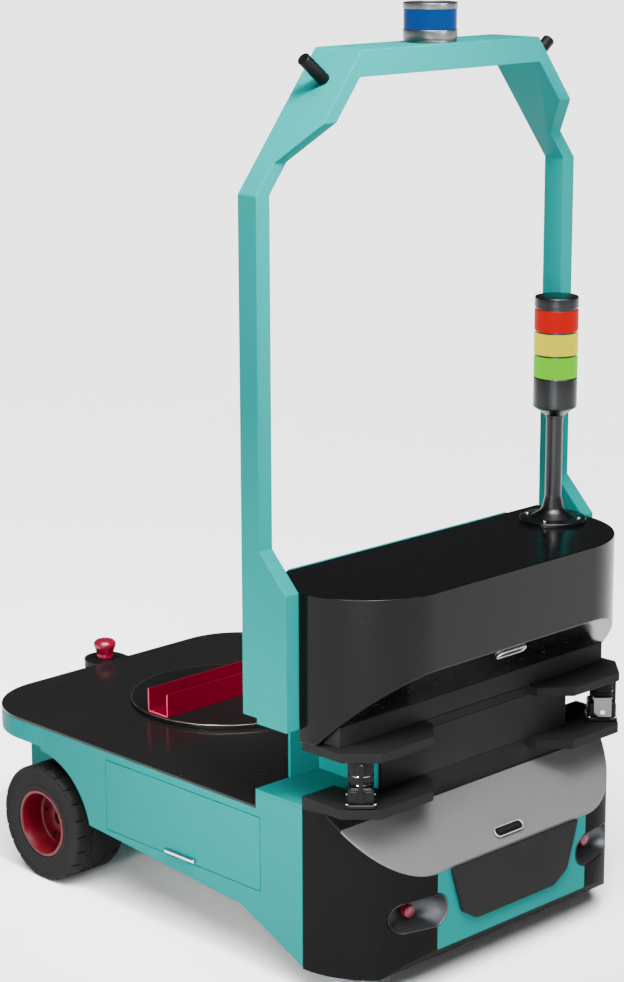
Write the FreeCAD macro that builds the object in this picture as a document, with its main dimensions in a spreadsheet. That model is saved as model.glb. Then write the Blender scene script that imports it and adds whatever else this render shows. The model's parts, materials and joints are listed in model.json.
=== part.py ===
import FreeCAD
import Part
import math
import os
import Sketcher

# Autonomous tow robot: a low deck on two driven wheels and two swivel castors, a rounded nose
# with a hinged hatch, a scanner console, a head box with a lamp stack, and a tall sensor gantry.
# Millimetres. +X is forward, +Y is left, +Z is up. The wheels stand on z = 0, and the origin is
# below the middle of the whole length.

doc = FreeCAD.newDocument("TowRobot")
sheet = doc.addObject("Spreadsheet::Sheet", "Sizes")

SIZES = {
    # deck
    "Front": 622,  # front face of the nose
    "DeckRear": -557,  # rear edge of the deck
    "Half": 389,  # half the width of deck and nose
    "DeckTop": 335,
    "DeckSheet": 6,  # black floor sheet
    "RimHeight": 48,  # whole edge of the deck, sheet included
    "RearRadius": 157,  # rear corners of the deck in plan
    "NoseRadius": 177,  # front corners of nose and head box in plan
    "Wall": 6,  # panels of the chassis and nose
    "ToeHeight": 46,  # solid toe of the nose, from its floor up
    "Fit": 0.3,  # face clearance of a fitted piece
    "ShaftFit": 0.1,  # round a shaft in its bore
    # chassis between the wheels
    "TubGap": 25,  # between the rear tub and each tyre's inner face
    "TubRear": -543,
    "TubFloor": 130,
    "TubFront": -96,
    "TubChamfer": 25,
    "BayRear": -154,
    "BayKnee": 172,
    "BellyHeight": 124,  # lower edge of the side where it bends down
    "BellyX": 276,
    "ArchFoot": 158,  # lower edge of the side beside the wheel arch
    "HeelX": 451,  # where the side reaches the floor of the nose
    "NoseFloor": 45,
    # wheels
    "AxleX": -326,
    "TyreRadius": 121.6,
    "TyreWidth": 122,
    "TyreOuter": 393,  # outer face of the tyre, from the middle
    "ArchGap": 35,
    "RimRadius": 71,
    "RimDepth": 50,
    "RimSheet": 8,
    "DiscThick": 24,
    "HubProud": 12,
    "LugCount": 22,  # notches round each shoulder of the tyre
    "LugSlot": 4,
    "LugIn": 4,
    "LugDeep": 20,
    "HubRadius": 30,
    "AxleRadius": 14,
    "RunGap": 6,  # air between a wheel and what it runs beside
    "DriveRadius": 52,
    # side doors
    "DoorRear": -118,
    "DoorFront": 330,
    "DoorLow": 166,
    "DoorHigh": 312,
    "DoorGap": 1.5,
    "DoorSheet": 4,
    "DoorLip": 12,
    "DoorHandleX": 108,
    "DoorHandleLength": 86,
    "HandleRod": 9,
    # nose
    "NoseBack": 320,
    "NoseTop": 368,
    "UndercutRun": 41,
    "UndercutRise": 38,
    "HatchLow": 240,  # lower edge of the hatch on the front face
    "HatchSheet": 4,
    "HatchGap": 1.5,
    "HatchHandle": 84,
    "HatchHandleTall": 21,
    "HatchHandleUp": 18,
    "PlateTopHalf": 181,
    "PlateWaistHalf": 151,
    "PlateWaist": 143,
    "PlateLowHalf": 112,
    "PlateLow": 119,
    "PlateHigh": 237,
    "PlateProud": 9,
    "ScoopReach": 2,  # the hollows are drawn from this far ahead of the nose
    "ScoopInset": 137,
    "ScoopHeight": 162,
    "ScoopWide": 69,
    "ScoopTall": 33,
    "ScoopDeep": 60,
    "ButtonRadius": 13,
    "ButtonX": 570,
    "ButtonProud": 20,
    "ScoopSheet": 2,
    "ScoopSeat": 12,
    "ScoopShrink": 16,
    # scanner console
    "NeckSheet": 6,
    "ConsoleFront": 524,
    "ConsoleInset": 18,  # narrower than the body on each side
    "ConsoleTop": 533,
    "CoreInset": 127,
    "CoreSheet": 8,
    "PillarInset": 161,
    "RecessInset": 83,  # the lower plate stops here beside the pillar
    "NeckInset": 85,
    "ApronDrop": 28,
    "PlateThick": 18,
    "SlotHeight": 89,  # between the two scanner plates
    "WingFront": 597,
    "WingLength": 137,
    "WingInset": 52,
    "ScannerWidth": 56,
    "ScannerDepth": 62,
    "ScannerBase": 40,
    "ScannerNeck": 7,
    "ScannerTurret": 26,
    # head box
    "HeadProud": 6,  # wider than the body on each side
    "HeadTop": 776,
    "HeadCut": 629,  # front lower edge of the head box
    "SlotHandleLength": 82,
    "SlotHandleTall": 22,
    "SlotHandleDrop": 8,
    "SlotHandleThick": 3,
    # gantry
    "PostRear": 330,
    "PostDepth": 48,
    "PostWidth": 33,
    "PostFoot": 527,
    "FootStep": 37,  # the rear of each foot ends a little higher
    "ShoulderStart": 1483,
    "ShoulderRise": 245,
    "ShoulderRun": 192,
    "JogLow": 54,
    "JogHigh": 123,
    "TopDepth": 117,
    "BarHeight": 47,
    "GussetDepth": 116,
    "GussetTop": 844,
    "GussetFront": 774,
    "GussetFoot": 516,
    "RodRadius": 12,
    "RodLength": 64,
    "RodX": 393,
    "RodUp": 193,  # foot of each rod above the start of the shoulders
    # lidar
    "LidarRadius": 50,
    "LidarBase": 23,
    "LidarWindow": 37,
    "LidarCap": 12,
    # lamp stack
    "LampX": 430,
    "LampInset": 73,
    "FlangeRadius": 66,
    "FlangeThick": 8,
    "PoleRadius": 17,
    "PoleHeight": 217,
    "FlareHeight": 24,
    "LampTaper": 14,
    "LampRadius": 43,
    "LampHeight": 42,
    "LampGap": 4,
    "LampStem": 36,
    "LampFoot": 60,
    "LampCap": 21,
    # turntable
    "TableX": -182,
    "TableRadius": 203,
    "PivotRadius": 22,
    "PivotLength": 40,
    "TableThick": 9,
    "ChannelHalf": 194,
    "ChannelWidth": 62,
    "ChannelHeight": 50,
    "ChannelSheet": 4,
    # hitch
    "HitchX": -584,
    "TabRadius": 46,
    "TabThick": 20,
    "PinRadius": 11,
    "PinLength": 70,
    "CollarRadius": 13,
    "KnobRadius": 25,
    "KnobNeck": 19,
    "KnobHeight": 40,
    # castors
    "CastorX": 326,
    "CastorY": 165,
    "CastorRadius": 50,
    "CastorWidth": 34,
    "CastorTrail": 34,
    "ForkSheet": 5,
    "ForkGap": 6,
    "CastorPlateHalf": 45,
    "CastorPlate": 6,
    "KingRadius": 8,
    # battery
    "BatteryLength": 240,
    "BatteryWidth": 300,
    "BatteryHeight": 120,
}


class Size:
    # a number together with the sheet expression that drives it
    def __init__(self, value, text):
        self.value = value
        self.text = text

    def __add__(self, other):
        other = as_size(other)
        return Size(self.value + other.value, "(%s + %s)" % (self.text, other.text))

    def __sub__(self, other):
        other = as_size(other)
        return Size(self.value - other.value, "(%s - %s)" % (self.text, other.text))

    def __mul__(self, other):
        other = as_size(other)
        return Size(self.value * other.value, "(%s * %s)" % (self.text, other.text))

    def __truediv__(self, other):
        other = as_size(other)
        return Size(self.value / other.value, "(%s / %s)" % (self.text, other.text))

    def __radd__(self, other):
        return as_size(other) + self

    def __rsub__(self, other):
        return as_size(other) - self

    def __rmul__(self, other):
        return as_size(other) * self

    def __neg__(self):
        return Size(-self.value, "(0 - %s)" % self.text)


def root(size):
    return Size(math.sqrt(size.value), "sqrt(%s)" % size.text)


def as_size(number):
    if isinstance(number, Size):
        return number
    return Size(float(number), repr(float(number)))


class Names:
    pass


s = Names()
for row, (name, value) in enumerate(SIZES.items(), start=1):
    sheet.set("A%d" % row, name)
    sheet.set("B%d" % row, str(value))
    sheet.setAlias("B%d" % row, name)
    setattr(s, name, Size(float(value), "Sizes." + name))
doc.recompute()

nodes = {}


def bind(thing, path, size):
    thing.setExpression(path, as_size(size).text)


def plane_of(body, role):
    return next(item for item in body.Origin.OriginFeatures if item.Role == role)


# which world axis stands on each plane, and whether the plane's own normal runs against it
NORMALS = {"XY_Plane": 1, "XZ_Plane": -1, "YZ_Plane": 1}


def sketch_on(body, plane, offset):
    sketch = body.newObject("Sketcher::SketchObject", body.Label + "_sketch")
    sketch.AttachmentSupport = (plane_of(body, plane), [""])
    sketch.MapMode = "FlatFace"
    bind(sketch, ".AttachmentOffset.Base.z", offset)
    return sketch


def place_point(sketch, geometry, end, x, y):
    for kind, size in (("DistanceX", as_size(x)), ("DistanceY", as_size(y))):
        index = sketch.addConstraint(Sketcher.Constraint(kind, -1, 1, geometry, end, size.value))
        sketch.setExpression("Constraints[%d]" % index, size.text)


def draw_outline(sketch, corners):
    # corners run anticlockwise; a third value is the radius of an outward arc to the next corner
    corners = [[as_size(value) for value in corner] for corner in corners]
    first = sketch.GeometryCount
    count = len(corners)
    arcs = []
    for index, corner in enumerate(corners):
        following = corners[(index + 1) % count]
        start = FreeCAD.Vector(corner[0].value, corner[1].value, 0)
        end = FreeCAD.Vector(following[0].value, following[1].value, 0)
        if len(corner) == 2:
            sketch.addGeometry(Part.LineSegment(start, end), False)
            continue
        radius = corner[2].value
        along = end - start
        inward = FreeCAD.Vector(-along.y, along.x, 0).normalize()
        centre = (start + end) * 0.5 + inward * math.sqrt(max(radius**2 - along.Length**2 / 4, 0))
        middle = centre - inward * radius
        sketch.addGeometry(Part.Arc(start, middle, end), False)
        arcs.append((first + index, corner[2]))
    for index in range(count):
        following = first + (index + 1) % count
        sketch.addConstraint(Sketcher.Constraint("Coincident", first + index, 2, following, 1))
    for index, corner in enumerate(corners):
        place_point(sketch, first + index, 1, corner[0], corner[1])
    for geometry, radius in arcs:
        index = sketch.addConstraint(Sketcher.Constraint("Radius", geometry, radius.value))
        sketch.setExpression("Constraints[%d]" % index, radius.text)


def draw_circle(sketch, x, y, radius):
    x, y, radius = as_size(x), as_size(y), as_size(radius)
    centre = FreeCAD.Vector(x.value, y.value, 0)
    circle = Part.Circle(centre, FreeCAD.Vector(0, 0, 1), radius.value)
    index = sketch.addGeometry(circle, False)
    place_point(sketch, index, 3, x, y)
    index = sketch.addConstraint(Sketcher.Constraint("Radius", index, radius.value))
    sketch.setExpression("Constraints[%d]" % index, radius.text)


def prism(body, plane, start, length, outlines=(), circles=(), cut=False):
    # material, or a cut, from the world coordinate start on for the given length
    start, length = as_size(start), as_size(length)
    offset = start if NORMALS[plane] > 0 else -(start + length)
    sketch = sketch_on(body, plane, offset)
    for corners in outlines:
        draw_outline(sketch, corners)
    for x, y, radius in circles:
        draw_circle(sketch, x, y, radius)
    kind = "PartDesign::Pocket" if cut else "PartDesign::Pad"
    feature = body.newObject(kind, body.Label + ("_cut" if cut else "_pad"))
    feature.Profile = sketch
    bind(feature, "Length", length)
    feature.Reversed = cut
    doc.recompute()
    return feature


def repeat_round(body, features, count):
    # the same cuts all the way round the body's own Z axis
    pattern = body.newObject("PartDesign::PolarPattern", body.Label + "_pattern")
    pattern.Originals = features
    pattern.Axis = (plane_of(body, "Z_Axis"), [""])
    pattern.Angle = 360
    pattern.Occurrences = SIZES[count]
    pattern.setExpression("Occurrences", "Sizes." + count)
    body.Tip = pattern
    doc.recompute()
    return pattern


def rectangle(x1, x2, y1, y2):
    return [(x1, y1), (x2, y1), (x2, y2), (x1, y2)]


def round_edges(body, radius, wanted, chamfer=False):
    # wanted picks edges by their middle point and direction
    shape = body.Tip.Shape
    names = []
    for index, edge in enumerate(shape.Edges, start=1):
        if not isinstance(edge.Curve, Part.Line):
            continue
        middle = edge.valueAt((edge.FirstParameter + edge.LastParameter) / 2)
        direction = edge.tangentAt(edge.FirstParameter)
        if wanted(middle, direction):
            names.append("Edge%d" % index)
    kind = "PartDesign::Chamfer" if chamfer else "PartDesign::Fillet"
    base = body.Tip
    feature = body.newObject(kind, body.Label + "_edges")
    feature.Base = (base, names)
    bind(feature, "Size" if chamfer else "Radius", radius)
    doc.recompute()
    return feature


def upright(direction):
    return abs(direction.z) > 0.999


def make_body(label):
    body = doc.addObject("PartDesign::Body", label)
    body.Label = label
    return body


def keep(label, thing):
    thing.Label = label
    nodes[label] = thing
    return thing


def mirror_pair(label, half):
    # the same piece on both sides of the middle plane
    other = doc.addObject("Part::Mirroring", label + "_other")
    other.Source = half
    other.Normal = FreeCAD.Vector(0, 1, 0)
    both = doc.addObject("Part::Compound", label)
    both.Links = [half, other]
    doc.recompute()
    return keep(label, both)


def mirrored(label, half):
    other = doc.addObject("Part::Mirroring", label)
    other.Source = half
    other.Normal = FreeCAD.Vector(0, 1, 0)
    doc.recompute()
    return keep(label, other)


def cylinder(label, radius, height, place, axis=FreeCAD.Vector(0, 0, 1)):
    piece = doc.addObject("Part::Cylinder", label)
    bind(piece, "Radius", radius)
    bind(piece, "Height", height)
    piece.Placement.Rotation = FreeCAD.Rotation(FreeCAD.Vector(0, 0, 1), axis)
    for name, value in zip("xyz", place):
        bind(piece, ".Placement.Base." + name, value)
    return piece


def box(label, lengths, place):
    piece = doc.addObject("Part::Box", label)
    for name, value in zip(("Length", "Width", "Height"), lengths):
        bind(piece, name, value)
    for name, value in zip("xyz", place):
        bind(piece, ".Placement.Base." + name, value)
    return piece


def cut(label, base, tool):
    result = doc.addObject("Part::Cut", label)
    result.Base = base
    result.Tool = tool
    return result


def fuse(label, pieces):
    result = doc.addObject("Part::MultiFuse", label)
    result.Shapes = pieces
    return result


def common(label, pieces):
    result = doc.addObject("Part::MultiCommon", label)
    result.Shapes = pieces
    return result


def revolve(body, profile, angle=360, axis="V_Axis", plane="XZ_Plane", groove=False):
    sketch = sketch_on(body, plane, 0)
    draw_outline(sketch, profile)
    kind = "PartDesign::Groove" if groove else "PartDesign::Revolution"
    feature = body.newObject(kind, body.Label + "_turned")
    feature.Profile = sketch
    feature.ReferenceAxis = (sketch, [axis])
    feature.Angle = angle
    doc.recompute()
    return feature


def set_place(thing, x, y, z, rotation=None):
    if rotation is not None:
        thing.Placement.Rotation = rotation
    for name, value in zip("xyz", (x, y, z)):
        bind(thing, ".Placement.Base." + name, value)


rim_bottom = s.DeckTop - s.RimHeight
tub_half = s.TyreOuter - s.TyreWidth - s.TubGap
sheet_bottom = s.DeckTop - s.DeckSheet
neck_front = s.NoseBack + s.NeckSheet
round_start = s.Front - s.NoseRadius
toe_top = s.NoseFloor + s.ToeHeight
lower_plate_top = s.NoseTop + s.PlateThick
upper_plate_bottom = lower_plate_top + s.SlotHeight
upper_plate_top = upper_plate_bottom + s.PlateThick
arch_radius = s.TyreRadius + s.ArchGap
hatch_back = s.ConsoleFront + s.HatchGap
bar_top = s.ShoulderStart + s.ShoulderRise
head_half = s.Half + s.HeadProud
console_half = s.Half - s.ConsoleInset
core_half = s.Half - s.CoreInset
wing_outer = s.Half - s.WingInset
wing_inner = wing_outer - s.WingLength
scoop_y = s.Half - s.ScoopInset
lamp_y = head_half - s.LampInset
pillar_half = s.Half - s.PillarInset
recess_half = s.Half - s.RecessInset
neck_half = s.Half - s.NeckInset
scoop_x = s.Front + s.ScoopReach
post_outer = head_half + s.PostWidth
rod_side = post_outer - s.ShoulderRun * s.RodUp / s.ShoulderRise


def on_rear(rear):
    return lambda point, direction: upright(direction) and abs(point.x - rear.value) < 0.5


def rounded_plan(back, front, half, radius):
    # seen from above: square at the back, with a quarter circle at each front corner
    return [(back, -half), (front - radius, -half, radius), (front, radius - half),
            (front, half - radius, radius), (front - radius, half), (back, half)]


def rounded_end(front, half, radius):
    # the same plan, but only its rounded part
    return rounded_plan(front - radius, front, half, radius)[1:5]


def deck():
    plate = make_body("deck_plate")
    plan = rectangle(s.DeckRear, s.NoseBack, -s.Half, s.Half)
    prism(plate, "XY_Plane", sheet_bottom, s.DeckSheet, [plan])
    round_edges(plate, s.RearRadius, on_rear(s.DeckRear))
    prism(plate, "XY_Plane", sheet_bottom, s.DeckSheet,
          circles=[(s.TableX, 0, s.PivotRadius + s.ShaftFit)], cut=True)
    keep("deck_plate", plate)

    # the tray under the sheet: full width behind the wheel axle, inside the side panels ahead of it
    tray = make_body("deck_frame")
    prism(tray, "XY_Plane", rim_bottom, s.RimHeight - s.DeckSheet, [plan])
    round_edges(tray, s.RearRadius, on_rear(s.DeckRear))
    for side in (-1, 1):
        inner = side * (s.Half - s.Wall)
        outer = side * (s.Half + s.Wall)
        prism(tray, "XY_Plane", rim_bottom, s.RimHeight,
              [rectangle(s.AxleX, s.NoseBack + s.Wall, inner, outer)], cut=True)
    prism(tray, "XY_Plane", rim_bottom, s.RimHeight,
          circles=[(s.TableX, 0, s.PivotRadius + s.ShaftFit)], cut=True)
    keep("deck_frame", tray)


def side_panels():
    # one outer side, from above the wheel to where the nose begins to round
    half = make_body("side_panel")
    heel_rise = s.HeelX - round_start
    outline = [
        (s.AxleX, sheet_bottom),
        (s.AxleX, s.ArchFoot),
        (s.AxleX + arch_radius, s.ArchFoot),
        (s.BellyX, s.BellyHeight),
        (round_start, s.NoseFloor + heel_rise / 2),
        (round_start, s.NoseTop - s.Wall),
        (s.NoseBack, s.NoseTop - s.Wall),
        (s.NoseBack, sheet_bottom),
    ]
    prism(half, "XZ_Plane", -s.Half, s.Wall, [outline])
    prism(half, "XZ_Plane", -s.Half, s.Wall, circles=[(s.AxleX, s.TyreRadius, arch_radius)], cut=True)
    # rebate for the door, then the opening inside its lip
    rebate = rectangle(s.DoorRear - s.DoorGap, s.DoorFront + s.DoorGap,
                       s.DoorLow - s.DoorGap, s.DoorHigh + s.DoorGap)
    prism(half, "XZ_Plane", -s.Half, s.DoorSheet + s.Fit, [rebate], cut=True)
    opening = rectangle(s.DoorRear + s.DoorLip, s.DoorFront - s.DoorLip,
                        s.DoorLow + s.DoorLip, rim_bottom - s.DoorGap)
    prism(half, "XZ_Plane", -s.Half, s.Wall, [opening], cut=True)
    mirror_pair("side_panels", half)


def doors():
    # a flat leaf that swings out and up about its top edge, with a bar handle near its lower edge
    leaf = make_body("door_right")
    prism(leaf, "XZ_Plane", -s.Half, s.DoorSheet,
          [rectangle(s.DoorRear, s.DoorFront, s.DoorLow, s.DoorHigh)])
    keep("door_right", leaf)
    mirrored("door_left", leaf)

    handle = make_body("door_handle_right")
    low = s.DoorLow + s.HandleRod / 2
    half_length = s.DoorHandleLength / 2
    outer = s.Half + s.HandleRod
    rod = rectangle(s.DoorHandleX - half_length, s.DoorHandleX + half_length, -outer, -s.Half)
    prism(handle, "XY_Plane", low, s.HandleRod, [rod])
    rounded = lambda point, direction: (abs(direction.x) > 0.99 or upright(direction)) and (
        point.y < -outer.value + 0.1)
    round_edges(handle, s.HandleRod / 3, rounded)
    keep("door_handle_right", handle)
    mirrored("door_handle_left", handle)


def chassis():
    # closed box between the wheels, which carries the drives
    tub = make_body("chassis_tub")
    outline = [
        (s.TubRear, rim_bottom),
        (s.TubRear, s.TubFloor + s.TubChamfer),
        (s.TubRear + s.TubChamfer, s.TubFloor),
        (s.TubFront, s.TubFloor),
        (s.TubFront, rim_bottom),
    ]
    prism(tub, "XZ_Plane", -tub_half, 2 * tub_half, [outline])
    prism(tub, "XY_Plane", rim_bottom - s.PivotLength, s.PivotLength,
          circles=[(s.TableX, 0, s.PivotRadius + s.ShaftFit)], cut=True)
    keep("chassis_tub", tub)

    # floor of the battery bay, with an upright at its rear beside each wheel
    pan = make_body("belly_pan")
    inner = s.Half - s.Wall
    outline = [
        (s.BayRear, rim_bottom),
        (s.BayRear, s.ArchFoot),
        (s.BayKnee, s.ArchFoot),
        (s.BellyX, s.BellyHeight),
        (round_start - s.Wall, s.BellyHeight),
        (round_start - s.Wall, toe_top - s.Wall),
        (round_start, toe_top - s.Wall),
        (round_start, s.BellyHeight + s.Wall),
        (s.BellyX, s.BellyHeight + s.Wall),
        (s.BayKnee, s.ArchFoot + s.Wall),
        (s.BayRear + s.Wall, s.ArchFoot + s.Wall),
        (s.BayRear + s.Wall, rim_bottom),
    ]
    prism(pan, "XZ_Plane", -inner, 2 * inner, [outline])
    prism(pan, "XZ_Plane", -tub_half, 2 * tub_half,
          [rectangle(s.BayRear - 1, s.TubFront, s.TubFloor, rim_bottom + 1)], cut=True)
    keep("belly_pan", pan)

    battery = box("battery", (s.BatteryLength, s.BatteryWidth, s.BatteryHeight),
                  (s.BayKnee - s.BatteryLength, -s.BatteryWidth / 2, s.ArchFoot + s.Wall))
    keep("battery", battery)


def nose():
    # black shell with a solid toe, a window for the front panel and a slope for the hatch
    shell = make_body("nose_shell")
    height = s.NoseTop - s.Wall - s.NoseFloor
    prism(shell, "XY_Plane", s.NoseFloor, height, [rounded_end(s.Front, s.Half, s.NoseRadius)])
    inner = s.Half - s.Wall
    prism(shell, "XY_Plane", toe_top, s.NoseTop,
          [rounded_plan(round_start - 1, s.Front - s.Wall, inner, s.NoseRadius - s.Wall)], cut=True)
    undercut = [(s.Front - s.UndercutRun, s.NoseFloor), (s.Front - s.UndercutRun, s.NoseFloor - 1),
                (s.Front + 1, s.NoseFloor - 1), (s.Front + 1, s.NoseFloor + s.UndercutRise),
                (s.Front, s.NoseFloor + s.UndercutRise)]
    wide = 2 * s.Half + 2
    prism(shell, "XZ_Plane", -s.Half - 1, wide, [undercut], cut=True)
    # above this slope there is only the hatch
    drop = s.HatchSheet * math.sqrt(2) + s.Fit
    rise = s.NoseTop + 1 - s.HatchLow + drop
    slope = [(s.Front + 1, s.HatchLow - drop - 1), (s.Front + 1, s.NoseTop + 1),
             (s.Front - rise, s.NoseTop + 1)]
    prism(shell, "XZ_Plane", -s.Half - 1, wide, [slope], cut=True)
    flat = s.Half - s.NoseRadius
    prism(shell, "YZ_Plane", s.Front - s.Wall, s.Wall + 1,
          [rectangle(-flat, flat, s.NoseFloor + s.UndercutRise, s.NoseTop)], cut=True)
    for side in (-1, 1):
        scoop_cut(shell, side)
    keep("nose_shell", shell)

    panel = make_body("nose_front")
    prism(panel, "YZ_Plane", s.Front - s.Wall, s.Wall,
          [rectangle(-flat, flat, s.NoseFloor + s.UndercutRise, s.HatchLow - drop)])
    for side in (-1, 1):
        scoop_cut(panel, side)
    keep("nose_front", panel)

    plate = make_body("bumper_plate")
    outline = [
        (-s.PlateTopHalf, s.PlateHigh),
        (-s.PlateWaistHalf, s.PlateWaist),
        (-s.PlateLowHalf, s.PlateLow),
        (s.PlateLowHalf, s.PlateLow),
        (s.PlateWaistHalf, s.PlateWaist),
        (s.PlateTopHalf, s.PlateHigh),
    ]
    prism(plate, "YZ_Plane", s.Front, s.PlateProud, [outline])
    keep("bumper_plate", plate)

    # top panel behind the rounded part of the nose, with a lip behind the deck
    side_view = top_sheet_profile("nose_top_profile")
    plan_view = make_body("nose_top_plan")
    prism(plan_view, "XY_Plane", rim_bottom - 1, s.NoseTop,
          [rectangle(s.NoseBack - 1, round_start, -s.Half, s.Half)])
    keep("nose_top", common("nose_top", [side_view, plan_view]))

    # pressed liners of the two button hollows, each with a round seat at its bottom
    liners = []
    for side in (-1, 1):
        cup = cut("liner_cup", scoop_form("liner_outer", side, s.ScoopSheet),
                  scoop_form("liner_inner", side, 0))
        seat = cylinder("liner_seat", s.ButtonRadius + 2, s.ScoopSeat,
                        (s.ButtonX - s.ScoopSeat, side * scoop_y, s.ScoopHeight), FreeCAD.Vector(1, 0, 0))
        liners.append(fuse("liner", [cup, seat]))
    plan = make_body("liner_plan")
    prism(plan, "XY_Plane", s.NoseFloor, s.NoseTop,
          [rounded_end(s.Front, s.Half, s.NoseRadius)])
    both = doc.addObject("Part::Compound", "liners")
    both.Links = liners
    keep("button_scoops", common("button_scoops", [both, plan]))


def top_sheet_profile(label):
    # level sheet over the nose, folded down over the hatch's upper edge
    sheet_run = s.Front - hatch_back + s.HatchGap
    fold = s.Front - (s.NoseTop - s.HatchLow)
    fold_under = fold + s.Wall - s.HatchSheet * math.sqrt(2)
    side_view = make_body(label)
    prism(side_view, "XZ_Plane", -s.Half, 2 * s.Half, [[
        (s.NoseBack, rim_bottom), (s.NoseBack + s.Wall, rim_bottom),
        (s.NoseBack + s.Wall, s.NoseTop - s.Wall), (fold_under, s.NoseTop - s.Wall),
        (s.Front - sheet_run, s.HatchLow + sheet_run - s.HatchSheet * math.sqrt(2)),
        (s.Front - sheet_run, s.HatchLow + sheet_run), (fold, s.NoseTop), (s.NoseBack, s.NoseTop)]])
    # inside the side panels below its rim
    for side in (-1, 1):
        prism(side_view, "XY_Plane", rim_bottom - 1, s.NoseTop - s.Wall - rim_bottom + 1,
              [rectangle(s.NoseBack - 1, round_start, side * (s.Half - s.Wall), side * (s.Half + 1))],
              cut=True)
    return side_view


def scoop_outline(side, half_width, half_height):
    # long oval: level edges joined by half circles, each in two quarters
    middle = side * scoop_y
    straight = half_width - half_height
    return [
        (middle - straight, s.ScoopHeight - half_height),
        (middle + straight, s.ScoopHeight - half_height, half_height),
        (middle + half_width, s.ScoopHeight, half_height),
        (middle + straight, s.ScoopHeight + half_height),
        (middle - straight, s.ScoopHeight + half_height, half_height),
        (middle - half_width, s.ScoopHeight, half_height),
    ]


def scoop_sections(owner, side, extra):
    # the oval at the mouth, and a smaller one at the bottom of the hollow
    sections = []
    for start, shrink in ((scoop_x, 0), (scoop_x - s.ScoopDeep - extra, s.ScoopShrink)):
        sketch = sketch_on(owner, "YZ_Plane", start)
        draw_outline(sketch, scoop_outline(side, s.ScoopWide + extra - shrink,
                                           s.ScoopTall + extra - shrink))
        sections.append(sketch)
    return sections


def scoop_cut(body, side):
    # the hollow in a front corner that holds a stop button and its liner
    mouth, *deeper = scoop_sections(body, side, s.ScoopSheet)
    hollow = body.newObject("PartDesign::SubtractiveLoft", body.Label + "_scoop")
    hollow.Profile = mouth
    hollow.Sections = deeper
    hollow.Ruled = True
    doc.recompute()


def scoop_form(label, side, extra):
    form = make_body(label)
    mouth, *deeper = scoop_sections(form, side, extra)
    loft = form.newObject("PartDesign::AdditiveLoft", label + "_loft")
    loft.Profile = mouth
    loft.Sections = deeper
    loft.Ruled = True
    doc.recompute()
    return form


def hatch():
    # sloping lid over the front of the nose, with the same rounded plan as the nose
    lid = make_body("hatch")
    prism(lid, "XY_Plane", s.HatchLow - s.HatchSheet * 2, s.NoseTop,
          [rounded_end(s.Front, s.Half, s.NoseRadius)])
    wide = 2 * s.Half + 2
    run = s.Front - hatch_back
    prism(lid, "XY_Plane", 0, s.HeadTop,
          [rectangle(round_start - 1, hatch_back, -s.Half - 1, s.Half + 1)], cut=True)
    above = [(s.Front + 1, s.HatchLow - 1), (s.Front + 1, s.NoseTop * 2),
             (hatch_back - 1, s.NoseTop * 2), (hatch_back - 1, s.HatchLow + run + 1)]
    prism(lid, "XZ_Plane", -s.Half - 1, wide, [above], cut=True)
    drop = s.HatchSheet * math.sqrt(2)
    below = [(s.Front + 1, s.HatchLow - drop - 1), (hatch_back - 1, s.HatchLow + run + 1 - drop),
             (hatch_back - 1, 0), (s.Front + 1, 0)]
    prism(lid, "XZ_Plane", -s.Half - 1, wide, [below], cut=True)
    keep("hatch", lid)

    # oval grip raised from the lid, near its lower edge
    grip = make_body("hatch_handle")
    prism(grip, "XY_Plane", 0, s.HandleRod, [rectangle(
        -s.HatchHandleTall / 2, s.HatchHandleTall / 2, -s.HatchHandle / 2, s.HatchHandle / 2)])
    round_edges(grip, s.HatchHandleTall / 2 - 0.5, lambda point, direction: upright(direction))
    grip.Placement.Rotation = FreeCAD.Rotation(FreeCAD.Vector(0, 1, 0), 45)
    set_place(grip, s.Front - s.HatchHandleUp, 0, s.HatchLow + s.HatchHandleUp)
    keep("hatch_handle", grip)


def stop_buttons():
    # mushroom head on a stem, on the seat of its hollow
    button = make_body("stop_button")
    stem = s.ButtonProud * 0.4
    revolve(button, [
        (0, 0), (s.ButtonRadius * 0.6, 0), (s.ButtonRadius * 0.6, stem), (s.ButtonRadius, stem),
        (s.ButtonRadius, s.ButtonProud - 5), (s.ButtonRadius - 4, s.ButtonProud), (0, s.ButtonProud)])
    button.Placement.Rotation = FreeCAD.Rotation(FreeCAD.Vector(0, 1, 0), 90)
    set_place(button, s.ButtonX + s.Fit, -scoop_y, s.ScoopHeight)
    mirror_pair("stop_buttons", button)


def wing_plan(inner):
    # seen from above: a corner block on each side, joined by a narrow strip behind the front panel
    strip_back = s.ConsoleFront - s.CoreSheet
    side = [
        (round_start, s.Half),
        (round_start, inner),
        (strip_back, inner),
    ]
    front = [
        (s.ConsoleFront, wing_inner - s.WingInset),
        (s.WingFront - s.WingInset, wing_inner - s.WingInset),
        (s.WingFront, wing_inner),
        (s.WingFront, wing_outer),
        (s.WingFront - s.WingInset, s.Half),
    ]
    plan = [(x, -y) for x, y in reversed(side)]
    plan += [(x, -y) for x, y in reversed(front)]
    return plan + front + side


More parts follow.
